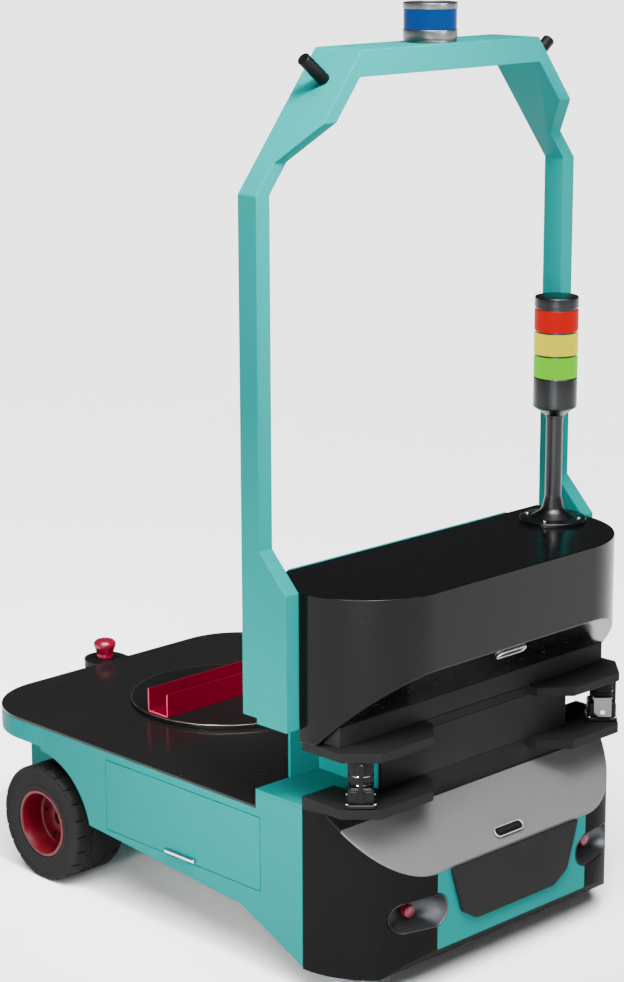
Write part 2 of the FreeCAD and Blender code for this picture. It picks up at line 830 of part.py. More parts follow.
def console():
    # front panel between the two scanner plates
    panel = make_body("console")
    prism(panel, "XY_Plane", lower_plate_top, s.SlotHeight,
          [rectangle(s.ConsoleFront - s.CoreSheet, s.ConsoleFront, -core_half, core_half)])
    keep("console", panel)

    # the head's foot, behind its slope and round the pillar
    strip_back = s.ConsoleFront - s.CoreSheet
    head = make_body("console_top")
    prism(head, "XY_Plane", upper_plate_top, s.ConsoleTop - upper_plate_top, [[
        (round_start, -console_half), (s.ConsoleFront, -console_half),
        (s.ConsoleFront, console_half), (round_start, console_half), (round_start, pillar_half),
        (strip_back, pillar_half), (strip_back, -pillar_half), (round_start, -pillar_half)]])
    keep("console_top", head)

    high = make_body("scanner_plate_high")
    prism(high, "XY_Plane", upper_plate_bottom, s.PlateThick, [wing_plan(pillar_half)])
    keep("scanner_plate_high", high)

    # the lower plate carries an apron down to the hatch, and the folded sheet over the nose
    low = make_body("scanner_plate")
    prism(low, "XY_Plane", s.NoseTop, s.PlateThick, [wing_plan(recess_half)])
    prism(low, "XY_Plane", s.NoseTop - s.ApronDrop, s.ApronDrop,
          [rectangle(strip_back, s.ConsoleFront, -core_half, core_half)])
    plan_view = make_body("cowl_plan")
    prism(plan_view, "XY_Plane", s.HatchLow, s.NoseTop,
          [rounded_end(s.Front, s.Half, s.NoseRadius)])
    cowl = common("cowl", [top_sheet_profile("cowl_profile"), plan_view])
    keep("scanner_plate_low", fuse("scanner_plate_low", [low, cowl]))


def scanners():
    # a squat laser scanner stands diagonally in each front corner: block, neck and round window
    block = make_body("scanner")
    half_width = s.ScannerWidth / 2
    prism(block, "XY_Plane", 0, s.ScannerBase,
          [rectangle(-s.ScannerDepth, 0, -half_width, half_width)])
    round_edges(block, 5, lambda point, direction: upright(direction))
    middle = -s.ScannerDepth / 2
    prism(block, "XY_Plane", s.ScannerBase, s.ScannerNeck, circles=[(middle, 0, s.ScannerTurret * 0.72)])
    prism(block, "XY_Plane", s.ScannerBase + s.ScannerNeck,
          s.SlotHeight - s.ScannerBase - s.ScannerNeck, circles=[(middle, 0, s.ScannerTurret * 0.92)])
    block.Placement.Rotation = FreeCAD.Rotation(FreeCAD.Vector(0, 0, 1), -45)
    set_place(block, s.WingFront - s.WingInset / 2, s.WingInset / 2 - s.Half, lower_plate_top)
    mirror_pair("scanners", block)


def head_box():
    # tall rounded box whose front lower edge is cut away at a slope down to the console
    head = make_body("head_box")
    prism(head, "XY_Plane", upper_plate_top, s.HeadTop - upper_plate_top,
          [rounded_plan(neck_front, s.Front, head_half, s.NoseRadius)])
    run = s.Front - s.ConsoleFront
    rise = s.HeadCut - s.ConsoleTop
    slope = rise / run
    foot_x = s.ConsoleFront - (s.ConsoleTop - upper_plate_top + 1) / slope
    wedge = [(s.Front + 1, upper_plate_top - 1), (s.Front + 1, s.HeadCut + slope),
             (foot_x, upper_plate_top - 1)]
    prism(head, "XZ_Plane", -head_half - 1, 2 * head_half + 2, [wedge], cut=True)
    foot_height = s.ConsoleTop - upper_plate_top
    prism(head, "XY_Plane", upper_plate_top, foot_height,
          [rectangle(round_start - 1, s.ConsoleFront, -console_half, console_half)], cut=True)
    prism(head, "XY_Plane", upper_plate_top, foot_height,
          [rectangle(neck_front - 1, round_start, -head_half - 1, head_half + 1)], cut=True)
    keep("head_box", head)

    # oval grip on the slope, just below the front edge, square to the slope's own direction
    pull = make_body("head_handle")
    half_length = s.SlotHandleLength / 2
    slant = root(run * run + rise * rise)
    step_x = run / slant
    step_z = rise / slant
    top_x = s.Front - s.SlotHandleDrop
    top_z = s.HeadCut - s.SlotHandleDrop * slope
    low_x = top_x - s.SlotHandleTall * step_x
    low_z = top_z - s.SlotHandleTall * step_z
    out_x = s.SlotHandleThick * step_z
    out_z = s.SlotHandleThick * step_x
    prism(pull, "XZ_Plane", -half_length, s.SlotHandleLength, [
        [(low_x, low_z), (low_x + out_x, low_z - out_z), (top_x + out_x, top_z - out_z), (top_x, top_z)]])
    round_edges(pull, s.SlotHandleTall / 2 - 1, lambda point, direction: abs(
        direction.x * step_z.value - direction.z * step_x.value) > 0.99)
    keep("head_handle", pull)

    # neck behind the head, and the pillar that carries the head from the nose's top
    neck = make_body("neck_plate")
    prism(neck, "XY_Plane", s.NoseTop, s.HeadTop - s.NoseTop,
          [rectangle(s.NoseBack, neck_front, -neck_half, neck_half)])
    prism(neck, "XY_Plane", s.NoseTop, s.ConsoleTop - s.NoseTop,
          [rectangle(neck_front, s.ConsoleFront - s.CoreSheet, -pillar_half, pillar_half)])
    keep("neck_plate", neck)


def gantry():
    # side profile of post, foot gusset and deeper top, then cut to an arch from ahead
    frame = make_body("gantry")
    front = s.PostRear + s.PostDepth
    step = s.PostRear + s.FootStep
    gusset_front = s.PostRear + s.GussetDepth
    top_front = s.PostRear + s.TopDepth
    outline = [
        (s.PostRear, s.PostFoot),
        (step, s.PostFoot),
        (step, s.GussetFoot),
        (gusset_front, s.GussetFoot),
        (gusset_front, s.GussetFront),
        (front, s.GussetTop),
        (front, s.ShoulderStart + s.JogLow),
        (top_front, s.ShoulderStart + s.JogHigh),
        (top_front, bar_top),
        (s.PostRear, bar_top),
    ]
    prism(frame, "XZ_Plane", -post_outer, 2 * post_outer, [outline])
    shoulder = s.ShoulderRun / s.ShoulderRise
    bar_bottom = bar_top - s.BarHeight
    bar_inner = head_half - shoulder * (s.ShoulderRise - s.BarHeight)
    gap = [
        (-head_half, s.GussetFoot - 1),
        (head_half, s.GussetFoot - 1),
        (head_half, s.ShoulderStart),
        (bar_inner, bar_bottom),
        (-bar_inner, bar_bottom),
        (-head_half, s.ShoulderStart),
    ]
    prism(frame, "YZ_Plane", s.PostRear - 1, s.TopDepth + 2, [gap], cut=True)
    for side in (-1, 1):
        corner = [
            (side * post_outer, s.ShoulderStart),
            (side * (post_outer + 5), s.ShoulderStart),
            (side * (post_outer + 5), bar_top + 5),
            (side * (post_outer - s.ShoulderRun - shoulder * 5), bar_top + 5),
        ]
        prism(frame, "YZ_Plane", s.PostRear - 1, s.TopDepth + 2, [corner], cut=True)
    keep("gantry", frame)


def lidar():
    middle = s.PostRear + s.TopDepth / 2
    start = bar_top
    for label, radius, height in (("lidar_base", s.LidarRadius, s.LidarBase),
                                  ("lidar_window", s.LidarRadius - 1, s.LidarWindow),
                                  ("lidar_cap", s.LidarRadius, s.LidarCap)):
        keep(label, cylinder(label, radius, height, (middle, 0, start)))
        start = start + height


def lamp_stack():
    post = make_body("lamp_post")
    profile = [
        (0, 0),
        (s.FlangeRadius, 0),
        (s.FlangeRadius, s.FlangeThick),
        (s.PoleRadius * 2, s.FlangeThick),
        (s.PoleRadius, s.FlangeThick + s.FlareHeight),
        (s.PoleRadius, s.PoleHeight),
        (s.LampRadius, s.PoleHeight + s.LampTaper),
        (0, s.PoleHeight + s.LampTaper),
    ]
    revolve(post, profile)
    set_place(post, s.LampX, lamp_y, s.HeadTop)
    keep("lamp_post", post)
    start = s.HeadTop + s.PoleHeight + s.LampTaper
    housing = [cylinder("lamp_foot", s.LampRadius, s.LampFoot, (s.LampX, lamp_y, start))]
    start = start + s.LampFoot
    for label in ("lamp_green", "lamp_amber", "lamp_red"):
        lens = cylinder(label, s.LampRadius, s.LampHeight, (s.LampX, lamp_y, start))
        keep(label, lens)
        start = start + s.LampHeight
        gap_disc = cylinder(label + "_ring", s.LampRadius - 2, s.LampGap, (s.LampX, lamp_y, start))
        housing.append(gap_disc)
        start = start + s.LampGap
    housing.append(cylinder("lamp_cap", s.LampRadius, s.LampCap, (s.LampX, lamp_y, start)))
    rings = doc.addObject("Part::Compound", "lamp_housing")
    rings.Links = housing[:3] + [fuse("lamp_lid", housing[3:])]
    keep("lamp_housing", rings)


def turntable():
    disc = make_body("turntable")
    seat = s.DeckTop + s.Fit
    prism(disc, "XY_Plane", seat, s.TableThick, circles=[(s.TableX, 0, s.TableRadius)])
    pivot_foot = rim_bottom - s.PivotLength / 2
    prism(disc, "XY_Plane", pivot_foot, seat - pivot_foot, circles=[(s.TableX, 0, s.PivotRadius)])
    keep("turntable", disc)

    channel = make_body("channel")
    floor = seat + s.TableThick
    left = s.TableX - s.ChannelWidth / 2
    right = s.TableX + s.ChannelWidth / 2
    top = floor + s.ChannelHeight
    outline = [
        (left, floor), (right, floor), (right, top), (right - s.ChannelSheet, top),
        (right - s.ChannelSheet, floor + s.ChannelSheet), (left + s.ChannelSheet, floor + s.ChannelSheet),
        (left + s.ChannelSheet, top), (left, top),
    ]
    prism(channel, "XZ_Plane", -s.ChannelHalf, 2 * s.ChannelHalf, [outline])
    keep("channel", channel)


def hitch():
    tab = make_body("hitch_tab")
    low = s.DeckTop - s.TabThick
    prism(tab, "XY_Plane", low, s.TabThick, [[
        (s.DeckRear, -s.TabRadius), (s.DeckRear, s.TabRadius),
        (s.HitchX, s.TabRadius, s.TabRadius), (s.HitchX - s.TabRadius, 0, s.TabRadius),
        (s.HitchX, -s.TabRadius)]])
    prism(tab, "XY_Plane", low, s.TabThick, circles=[(s.HitchX, 0, s.CollarRadius + s.Fit)], cut=True)
    keep("hitch_tab", tab)

    # the pin: free end, collar in the tab, and a knob to lift it by
    pin = make_body("hitch_pin")
    collar = s.TabThick + s.Fit + 1
    profile = [
        (0, -s.PinLength), (s.PinRadius - 2, -s.PinLength), (s.PinRadius, 4 - s.PinLength),
        (s.PinRadius, -collar), (s.CollarRadius, -collar), (s.CollarRadius, 0), (s.KnobNeck, 0),
        (s.KnobNeck, s.KnobHeight * 0.4), (s.KnobRadius, s.KnobHeight * 0.4),
        (s.KnobRadius, s.KnobHeight - 5),
        (s.KnobRadius - 5, s.KnobHeight), (0, s.KnobHeight),
    ]
    revolve(pin, profile)
    set_place(pin, s.HitchX, 0, s.DeckTop + s.Fit)
    keep("hitch_pin", pin)


def wheels():
    # each profile is drawn as radius against distance outwards from the tyre's inner face
    inner_face = s.TyreOuter - s.TyreWidth
    tyre = make_body("tyre_right")
    revolve(tyre, [
        (s.RimRadius, 0), (s.TyreRadius, 0), (s.TyreRadius, s.TyreWidth), (s.RimRadius, s.TyreWidth)])
    notches = []
    for start in (0, s.TyreWidth - s.LugDeep):
        notches.append(prism(tyre, "XY_Plane", start, s.LugDeep, [rectangle(
            s.TyreRadius - s.LugIn, s.TyreRadius + 1, -s.LugSlot / 2, s.LugSlot / 2)], cut=True))
    repeat_round(tyre, notches, "LugCount")
    rim = make_body("rim_right")
    disc = s.TyreWidth - s.RimDepth
    revolve(rim, [
        (s.AxleRadius + s.ShaftFit, disc - s.DiscThick), (s.RimRadius, disc - s.DiscThick),
        (s.RimRadius, s.TyreWidth), (s.RimRadius - s.RimSheet, s.TyreWidth),
        (s.RimRadius - s.RimSheet, disc), (s.HubRadius, disc), (s.HubRadius, disc + s.HubProud),
        (0, disc + s.HubProud), (0, disc - 2), (s.AxleRadius + s.ShaftFit, disc - 2)])
    for piece in (tyre, rim):
        piece.Placement.Rotation = FreeCAD.Rotation(FreeCAD.Vector(1, 0, 0), 90)
        set_place(piece, s.AxleX, -inner_face, s.TyreRadius)
    keep("tyre_right", tyre)
    keep("rim_right", rim)
    mirrored("tyre_left", tyre)
    mirrored("rim_left", rim)

    drive = make_body("drive_unit")
    reach = inner_face - tub_half
    revolve(drive, [
        (0, 0), (s.DriveRadius, 0), (s.DriveRadius, reach - s.RunGap),
        (s.AxleRadius, reach - s.RunGap), (s.AxleRadius, reach + disc - 3), (0, reach + disc - 3)])
    drive.Placement.Rotation = FreeCAD.Rotation(FreeCAD.Vector(1, 0, 0), 90)
    set_place(drive, s.AxleX, -tub_half, s.TyreRadius)
    mirror_pair("drive_units", drive)


def castors():
    top = s.BellyHeight
    plate_bottom = top - s.CastorPlate
    plate = make_body("castor_plate")
    prism(plate, "XY_Plane", plate_bottom, s.CastorPlate, [rectangle(
        s.CastorX - s.CastorPlateHalf, s.CastorX + s.CastorPlateHalf,
        -s.CastorY - s.CastorPlateHalf, -s.CastorY + s.CastorPlateHalf)])
    prism(plate, "XY_Plane", plate_bottom, s.CastorPlate,
          circles=[(s.CastorX, -s.CastorY, s.KingRadius + s.ShaftFit)], cut=True)
    mirror_pair("castor_plates", plate)

    wheel_x = s.CastorX - s.CastorTrail
    cheek_in = s.CastorWidth / 2 + s.ForkGap / 3
    cheek_out = cheek_in + s.ForkSheet
    crown_bottom = 2 * s.CastorRadius + s.ForkGap
    crown_rear = s.CastorX - s.CastorPlateHalf * 0.8
    crown_front = s.CastorX + s.CastorPlateHalf * 0.6
    crown_top = plate_bottom - s.Fit
    fork = make_body("castor_fork_right")
    prism(fork, "XY_Plane", crown_bottom, crown_top - crown_bottom, [rectangle(
        crown_rear, crown_front, -s.CastorY - cheek_out, -s.CastorY + cheek_out)])
    boss = s.KingRadius * 1.6
    cheek = [(crown_rear, crown_top), (wheel_x - boss, s.CastorRadius + boss),
             (wheel_x - boss, s.CastorRadius - boss * 0.8), (wheel_x + boss, s.CastorRadius - boss * 0.8),
             (crown_front - s.ForkGap, crown_bottom - s.ForkGap), (crown_front, crown_top)]
    for side in (-1, 1):
        start = -s.CastorY - cheek_out if side < 0 else -s.CastorY + cheek_in
        prism(fork, "XZ_Plane", start, s.ForkSheet, [cheek])
    prism(fork, "XZ_Plane", -s.CastorY - cheek_out, 2 * cheek_out,
          circles=[(wheel_x, s.CastorRadius, s.KingRadius - 3)])
    prism(fork, "XY_Plane", crown_top, s.CastorPlate, circles=[(s.CastorX, -s.CastorY, s.KingRadius)])
    keep("castor_fork_right", fork)
    mirrored("castor_fork_left", fork)

    wheel = make_body("castor_wheel_right")
    half_width = s.CastorWidth / 2
    bore = s.KingRadius - 3 + s.ShaftFit
    revolve(wheel, [
        (bore, -half_width), (s.CastorRadius, -half_width),
        (s.CastorRadius, half_width), (bore, half_width)])
    wheel.Placement.Rotation = FreeCAD.Rotation(FreeCAD.Vector(1, 0, 0), 90)
    set_place(wheel, wheel_x, -s.CastorY, s.CastorRadius)
    keep("castor_wheel_right", wheel)
    mirrored("castor_wheel_left", wheel)


def gantry_rods():
    # a short dark rod stands square on the slope of each shoulder
    rod = doc.addObject("Part::Cylinder", "gantry_rod")
    bind(rod, "Radius", s.RodRadius)
    bind(rod, "Height", s.RodLength)
    turn = math.degrees(math.atan(SIZES["ShoulderRise"] / SIZES["ShoulderRun"]))
    rod.Placement.Rotation = FreeCAD.Rotation(FreeCAD.Vector(1, 0, 0), turn)
    rod.setExpression(".Placement.Rotation.Angle", "atan(Sizes.ShoulderRise / Sizes.ShoulderRun)")
    set_place(rod, s.RodX, -rod_side, s.ShoulderStart + s.RodUp)
    mirror_pair("gantry_rods", rod)


deck()
side_panels()
doors()
chassis()
nose()
hatch()
stop_buttons()
console()
scanners()
head_box()
gantry()
gantry_rods()
lidar()
lamp_stack()
turntable()
hitch()
wheels()
castors()
doc.recompute()

for thing in doc.Objects:
    if "Invalid" in thing.State or "Error" in thing.State:
        raise RuntimeError("%s did not build" % thing.Name)
for label, thing in nodes.items():
    if thing.Shape.isNull() or not thing.Shape.isValid():
        raise RuntimeError("%s has no valid shape" % label)

os.makedirs("parts", exist_ok=True)
for label, thing in nodes.items():
    thing.Shape.exportStep("parts/%s.step" % label)
print("%d nodes written" % len(nodes))
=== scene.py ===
import json
import math
import bmesh
import bpy
import numpy as np
from mathutils import Matrix, Vector


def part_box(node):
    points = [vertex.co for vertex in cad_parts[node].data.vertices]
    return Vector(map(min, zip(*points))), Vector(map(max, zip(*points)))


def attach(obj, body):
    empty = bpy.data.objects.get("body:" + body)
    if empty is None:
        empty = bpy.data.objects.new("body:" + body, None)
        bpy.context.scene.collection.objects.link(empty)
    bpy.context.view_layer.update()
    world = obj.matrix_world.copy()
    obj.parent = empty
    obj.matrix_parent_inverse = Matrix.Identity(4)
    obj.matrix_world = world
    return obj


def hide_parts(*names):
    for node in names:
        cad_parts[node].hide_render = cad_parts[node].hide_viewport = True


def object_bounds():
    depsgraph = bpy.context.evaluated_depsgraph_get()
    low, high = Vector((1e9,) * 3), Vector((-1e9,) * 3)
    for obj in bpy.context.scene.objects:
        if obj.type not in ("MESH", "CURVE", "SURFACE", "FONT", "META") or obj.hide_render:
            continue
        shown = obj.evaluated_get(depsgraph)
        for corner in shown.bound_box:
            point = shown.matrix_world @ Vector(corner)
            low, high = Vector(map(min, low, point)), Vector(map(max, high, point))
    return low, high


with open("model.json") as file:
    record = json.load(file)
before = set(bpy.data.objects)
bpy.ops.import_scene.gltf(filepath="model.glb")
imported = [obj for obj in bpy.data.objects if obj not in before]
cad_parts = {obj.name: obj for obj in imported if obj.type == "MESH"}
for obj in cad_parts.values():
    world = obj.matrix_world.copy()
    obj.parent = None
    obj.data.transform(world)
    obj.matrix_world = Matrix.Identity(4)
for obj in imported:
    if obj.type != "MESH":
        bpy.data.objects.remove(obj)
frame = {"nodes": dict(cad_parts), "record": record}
cadLow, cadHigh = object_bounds()
nodes = frame["nodes"]
bodies = frame["record"]["behaviour"]["bodies"]
bodyOf = {member: body for body, members in bodies.items() for member in members}
slotOf = {entry["node"]: entry["material_slot"] for entry in frame["record"]["subparts"]}
print("frame loaded:", len(nodes), "nodes")


# camera
shot = {
    "place": (3.600, -3.438, 2.0452),
    "turn": 45.7105,  # degrees round Z, away from +Y
    "tilt": 13.8704,  # degrees below the horizon
    "roll": -0.2203,
    "lens": 93.266,
    "sensor": 36,
    "farthest": 400,
}
turn, tilt, roll = (math.radians(shot[key]) for key in ("turn", "tilt", "roll"))
ahead = Vector((-math.sin(turn) * math.cos(tilt), math.cos(turn) * math.cos(tilt), -math.sin(tilt)))
aside = ahead.cross(Vector((0, 0, 1))).normalized()
above = aside.cross(ahead)
camRight = math.cos(roll) * aside + math.sin(roll) * above
camUp = -math.sin(roll) * aside + math.cos(roll) * above
cameraData = bpy.data.cameras.new("camera")
cameraData.lens = shot["lens"]
cameraData.sensor_width = shot["sensor"]
cameraData.clip_end = shot["farthest"]
camera = bpy.data.objects.new("camera", cameraData)
camera.matrix_world = Matrix((
    (camRight.x, camUp.x, -ahead.x, shot["place"][0]),
    (camRight.y, camUp.y, -ahead.y, shot["place"][1]),
    (camRight.z, camUp.z, -ahead.z, shot["place"][2]),
    (0, 0, 0, 1)))
bpy.context.scene.collection.objects.link(camera)
bpy.context.scene.camera = camera

# light: a dim sky, a wide sun overhead and four lamps
lighting = {
    "sky": 0.06,
    "skyColour": (0.96, 0.98, 1.0, 1),
    "backdrop": 3.0,
    "sun": {"strength": 12.0, "spread": 50, "from": (0.34, -0.3, 1.0)},
    "lamps": [
        # name, place, target, size, spread in degrees, watts
        ("shoulderLamp", (1.5, -0.9, 3.0), (0.36, -0.3, 1.62), (0.5, 0.5), 50, 24),
        ("crownLamp", (2.2, 0.3, 2.3), (0.4, 0.0, 1.66), (0.6, 0.4), 60, 9),
        ("fillLamp", (3.2, -3.6, 0.6), (0.45, -0.2, 0.2), (2.0, 1.0), 70, 15),
        ("neckLamp", (1.1, -2.4, 1.1), (0.28, -0.36, 0.42), (0.5, 0.5), 30, 5),
    ],
}
world = bpy.data.worlds.new("studio")
bpy.context.scene.world = world
world.use_nodes = True
background = world.node_tree.nodes["Background"]
background.inputs["Color"].default_value = lighting["skyColour"]
# the backdrop behind the floor is as pale as the floor, but gives only a little light
seen = world.node_tree.nodes.new("ShaderNodeLightPath").outputs["Is Camera Ray"]
glow = world.node_tree.nodes.new("ShaderNodeMapRange")
glow.inputs["To Min"].default_value = lighting["sky"]
glow.inputs["To Max"].default_value = lighting["backdrop"]
world.node_tree.links.new(seen, glow.inputs["Value"])
world.node_tree.links.new(glow.outputs["Result"], background.inputs["Strength"])


def addLight(name, data, place, target):
    # a light at its place, turned to its target
    lamp = bpy.data.objects.new(name, data)
    lamp.location = place
    lamp.rotation_mode = "QUATERNION"
    lamp.rotation_quaternion = (Vector(target) - Vector(place)).to_track_quat("-Z", "Y")
    bpy.context.scene.collection.objects.link(lamp)


sunData = bpy.data.lights.new("overhead", "SUN")
sunData.energy = lighting["sun"]["strength"]
sunData.angle = math.radians(lighting["sun"]["spread"])
addLight("overhead", sunData, lighting["sun"]["from"], (0, 0, 0))
for name, place, target, size, spreadAngle, watts in lighting["lamps"]:
    data = bpy.data.lights.new(name, "AREA")
    data.shape = "RECTANGLE"
    data.size, data.size_y = size
    data.spread = math.radians(spreadAngle)
    data.energy = watts
    addLight(name, data, place, target)

ground = {"half": 200, "below": 0.0005}  # half the floor's side, and its gap to the wheels
far = ground["half"]
floorMesh = bpy.data.meshes.new("floor")
floorMesh.from_pydata([(-far, -far, 0), (far, -far, 0), (far, far, 0), (-far, far, 0)], [], [(0, 1, 2, 3)])
floor = bpy.data.objects.new("floor", floorMesh)
floor.location.z = cadLow.z - ground["below"]
bpy.context.scene.collection.objects.link(floor)
print("camera and light set")


# shared effects: each is a shader group, and each material places it with its own amounts
def effectGroup(name, takes, gives):
    # an empty shader group with float inputs and float outputs, and its two end nodes
    group = bpy.data.node_groups.new(name, "ShaderNodeTree")
    for label, value in takes.items():
        socket = group.interface.new_socket(name=label, in_out="INPUT", socket_type="NodeSocketFloat")
        socket.default_value = value
    for label in gives:
        group.interface.new_socket(name=label, in_out="OUTPUT", socket_type="NodeSocketFloat")
    return group, group.nodes.new("NodeGroupInput").outputs, group.nodes.new("NodeGroupOutput")


def giveOut(group, leave, **results):
    # each result goes to the group's output of that name
    for label, value in results.items():
        group.links.new(value, leave.inputs[label])
    return group


def addMath(tree, kind, first, second=None, third=None, clamp=False):
    # a math node; each value is a number or a socket
    node = tree.nodes.new("ShaderNodeMath")
    node.operation = kind
    node.use_clamp = clamp
    for index, value in enumerate((first, second, third)):
        if value is None:
            continue
        if isinstance(value, (int, float)):
            node.inputs[index].default_value = value
        else:
            tree.links.new(value, node.inputs[index])
    return node.outputs[0]


def addNoise(tree, where, scale, detail=2.0, rough=0.5, stretch=None):
    # noise on a position, its scale a number or a socket
    if stretch is not None:
        mapping = tree.nodes.new("ShaderNodeMapping")
        mapping.inputs["Scale"].default_value = stretch
        tree.links.new(where, mapping.inputs["Vector"])
        where = mapping.outputs["Vector"]
    node = tree.nodes.new("ShaderNodeTexNoise")
    node.inputs["Detail"].default_value = detail
    node.inputs["Roughness"].default_value = rough
    if isinstance(scale, (int, float)):
        node.inputs["Scale"].default_value = scale
    else:
        tree.links.new(scale, node.inputs["Scale"])
    tree.links.new(where, node.inputs["Vector"])
    return node.outputs["Fac"]


def addRamp(tree, value, low, high, outLow=0.0, outHigh=1.0):
    # smooth step from low to high
    node = tree.nodes.new("ShaderNodeMapRange")
    node.interpolation_type = "SMOOTHSTEP"
    node.inputs["From Min"].default_value = low
    node.inputs["From Max"].default_value = high
    node.inputs["To Min"].default_value = outLow
    node.inputs["To Max"].default_value = outHigh
    tree.links.new(value, node.inputs["Value"])
    return node.outputs["Result"]


def onObject(tree):
    # the position in the piece's own frame
    return tree.nodes.new("ShaderNodeTexCoord").outputs["Object"]


def makePaintSkin():
    # orange peel as height, smudges times their amount, fine hairline scratches, and slow drift of the tint
    takes = {"Peel Scale": 700.0, "Smudge Scale": 7.0, "Smudge Amount": 0.1, "Scratch Scale": 60.0}
    group, enter, leave = effectGroup("paintSkin", takes, ["Height", "Smudge", "Scratch", "Tint"])
    where = onObject(group)
    peel = addNoise(group, where, enter["Peel Scale"], detail=1.0)
    smudge = addNoise(group, where, enter["Smudge Scale"], detail=5.0, rough=0.6)
    smudge = addRamp(group, smudge, low=0.45, high=0.72)
    hair = addNoise(group, where, enter["Scratch Scale"], detail=3.0, rough=0.7, stretch=(1.0, 0.12, 3.0))
    hair = addRamp(group, hair, low=0.66, high=0.7)
    cross = addNoise(group, where, enter["Scratch Scale"], detail=3.0, rough=0.7, stretch=(0.12, 2.0, 1.6))
    cross = addRamp(group, cross, low=0.67, high=0.71)
    return giveOut(group, leave, Height=peel,
                   Smudge=addMath(group, "MULTIPLY", smudge, enter["Smudge Amount"]),
                   Scratch=addMath(group, "MAXIMUM", hair, cross), Tint=addNoise(group, where, scale=2.6))


def makeFloorDust():
    # dust gathers near the floor and on faces that look up; cover is the dust times its amount
    group, enter, leave = effectGroup("floorDust", {"Reach": 0.35, "Grain Scale": 90.0, "Amount": 0.06},
                                      ["Dust", "Cover"])
    where = onObject(group)
    split = group.nodes.new("ShaderNodeSeparateXYZ")
    group.links.new(where, split.inputs[0])
    low = addMath(group, "DIVIDE", split.outputs["Z"], enter["Reach"])
    low = addMath(group, "SUBTRACT", 1.0, low, clamp=True)
    facing = group.nodes.new("ShaderNodeSeparateXYZ")
    group.links.new(group.nodes.new("ShaderNodeNewGeometry").outputs["Normal"], facing.inputs[0])
    lying = addRamp(group, facing.outputs["Z"], low=0.3, high=1.0, outLow=0.25)
    grain = addNoise(group, where, enter["Grain Scale"], detail=6.0, rough=0.65)
    grain = addRamp(group, grain, low=0.35, high=0.75)
    dust = addMath(group, "MULTIPLY", addMath(group, "MULTIPLY", low, lying), grain)
    return giveOut(group, leave, Dust=dust, Cover=addMath(group, "MULTIPLY", dust, enter["Amount"]))


def makeMouldGrain():
    # fine leather-like grain of moulded plastic and rubber; blotch is the patch times its amount
    group, enter, leave = effectGroup("mouldGrain", {"Grain Scale": 1500.0, "Patch Amount": 0.08},
                                      ["Height", "Patch", "Blotch"])
    where = onObject(group)
    cell = group.nodes.new("ShaderNodeTexVoronoi")
    group.links.new(where, cell.inputs["Vector"])
    group.links.new(enter["Grain Scale"], cell.inputs["Scale"])
    patch = addNoise(group, where, scale=14.0, detail=4.0, rough=0.6)
    return giveOut(group, leave, Height=cell.outputs["Distance"], Patch=patch,
                   Blotch=addMath(group, "MULTIPLY", patch, enter["Patch Amount"]))


def makeBrushing():
    # long thin lines of brushed metal, along X; dulling is the streak times its amount
    group, enter, leave = effectGroup("brushing", {"Line Scale": 900.0, "Streak Amount": 0.15},
                                      ["Height", "Streak", "Dulling"])
    where = onObject(group)
    fine = addNoise(group, where, enter["Line Scale"], detail=3.0, rough=0.6, stretch=(0.02, 1.0, 1.0))
    broad = addNoise(group, where, scale=40.0, detail=3.0, rough=0.6, stretch=(0.05, 1.0, 1.0))
    return giveOut(group, leave, Height=fine, Streak=broad,
                   Dulling=addMath(group, "MULTIPLY", broad, enter["Streak Amount"]))


paintSkin = makePaintSkin()
floorDust = makeFloorDust()
mouldGrain = makeMouldGrain()
brushing = makeBrushing()
print("shared effects built")


# finishes
wear = {
    "drift": 0.05,  # of the paint's colour, up and down
    "scratchShow": 0.3,
    "scratchColour": (1.3, 0.001),  # the paint's own times a share, plus a lift
    "scratchDull": 0.1,  # roughness that a full scratch adds
    "paintDust": (0.2, 0.19, 0.17, 1),
    "paintDustDull": 0.3,
    "patchShow": 0.3,
    "patchColour": (1.4, 0.001),
    "plasticDust": (0.17, 0.16, 0.14, 1),
    "plasticDustDull": 0.25,
    "grainDeep": 0.0003,
    "streakColour": 0.8,
    "lineDeep": 0.0002,
}
glass = {
    "cloudScale": 60.0,
    "cloudColour": 0.88,  # share of the light's own colour where it is cloudy
    "cloudDull": 0.1,
    "gloss": 1.08,
    "bump": 0.05,
    "deep": 0.0005,
}


def startFinish(name):
    # a new material, its node tree and its shader
    material = bpy.data.materials.new(name)
    material.use_nodes = True
    return material, material.node_tree, material.node_tree.nodes["Principled BSDF"]


def useGroup(tree, group, values):
    # a shared effect in a material, with this material's own values
    node = tree.nodes.new("ShaderNodeGroup")
    node.node_tree = group
    for label, value in values.items():
        node.inputs[label].default_value = value
    return node.outputs


def shaded(colour, share, lift=0.0):
    # each channel times share, plus lift, at most 1
    return tuple(min(1.0, channel * share + lift) for channel in colour[:3]) + (1.0,)


def mixColour(tree, factor, first, second):
    # first where factor is 0 and second where it is 1; each is a colour or a socket
    node = tree.nodes.new("ShaderNodeMix")
    node.data_type = "RGBA"
    tree.links.new(factor, node.inputs["Factor"])
    for socket, colour in ((node.inputs[6], first), (node.inputs[7], second)):
        if isinstance(colour, tuple):
            socket.default_value = colour
        else:
            tree.links.new(colour, socket)
    return node.outputs[2]


def addBump(tree, shader, height, strength, distance):
    # small relief from a height
    bump = tree.nodes.new("ShaderNodeBump")
    bump.inputs["Strength"].default_value = strength
    bump.inputs["Distance"].default_value = distance
    tree.links.new(height, bump.inputs["Height"])
    tree.links.new(bump.outputs["Normal"], shader.inputs["Normal"])


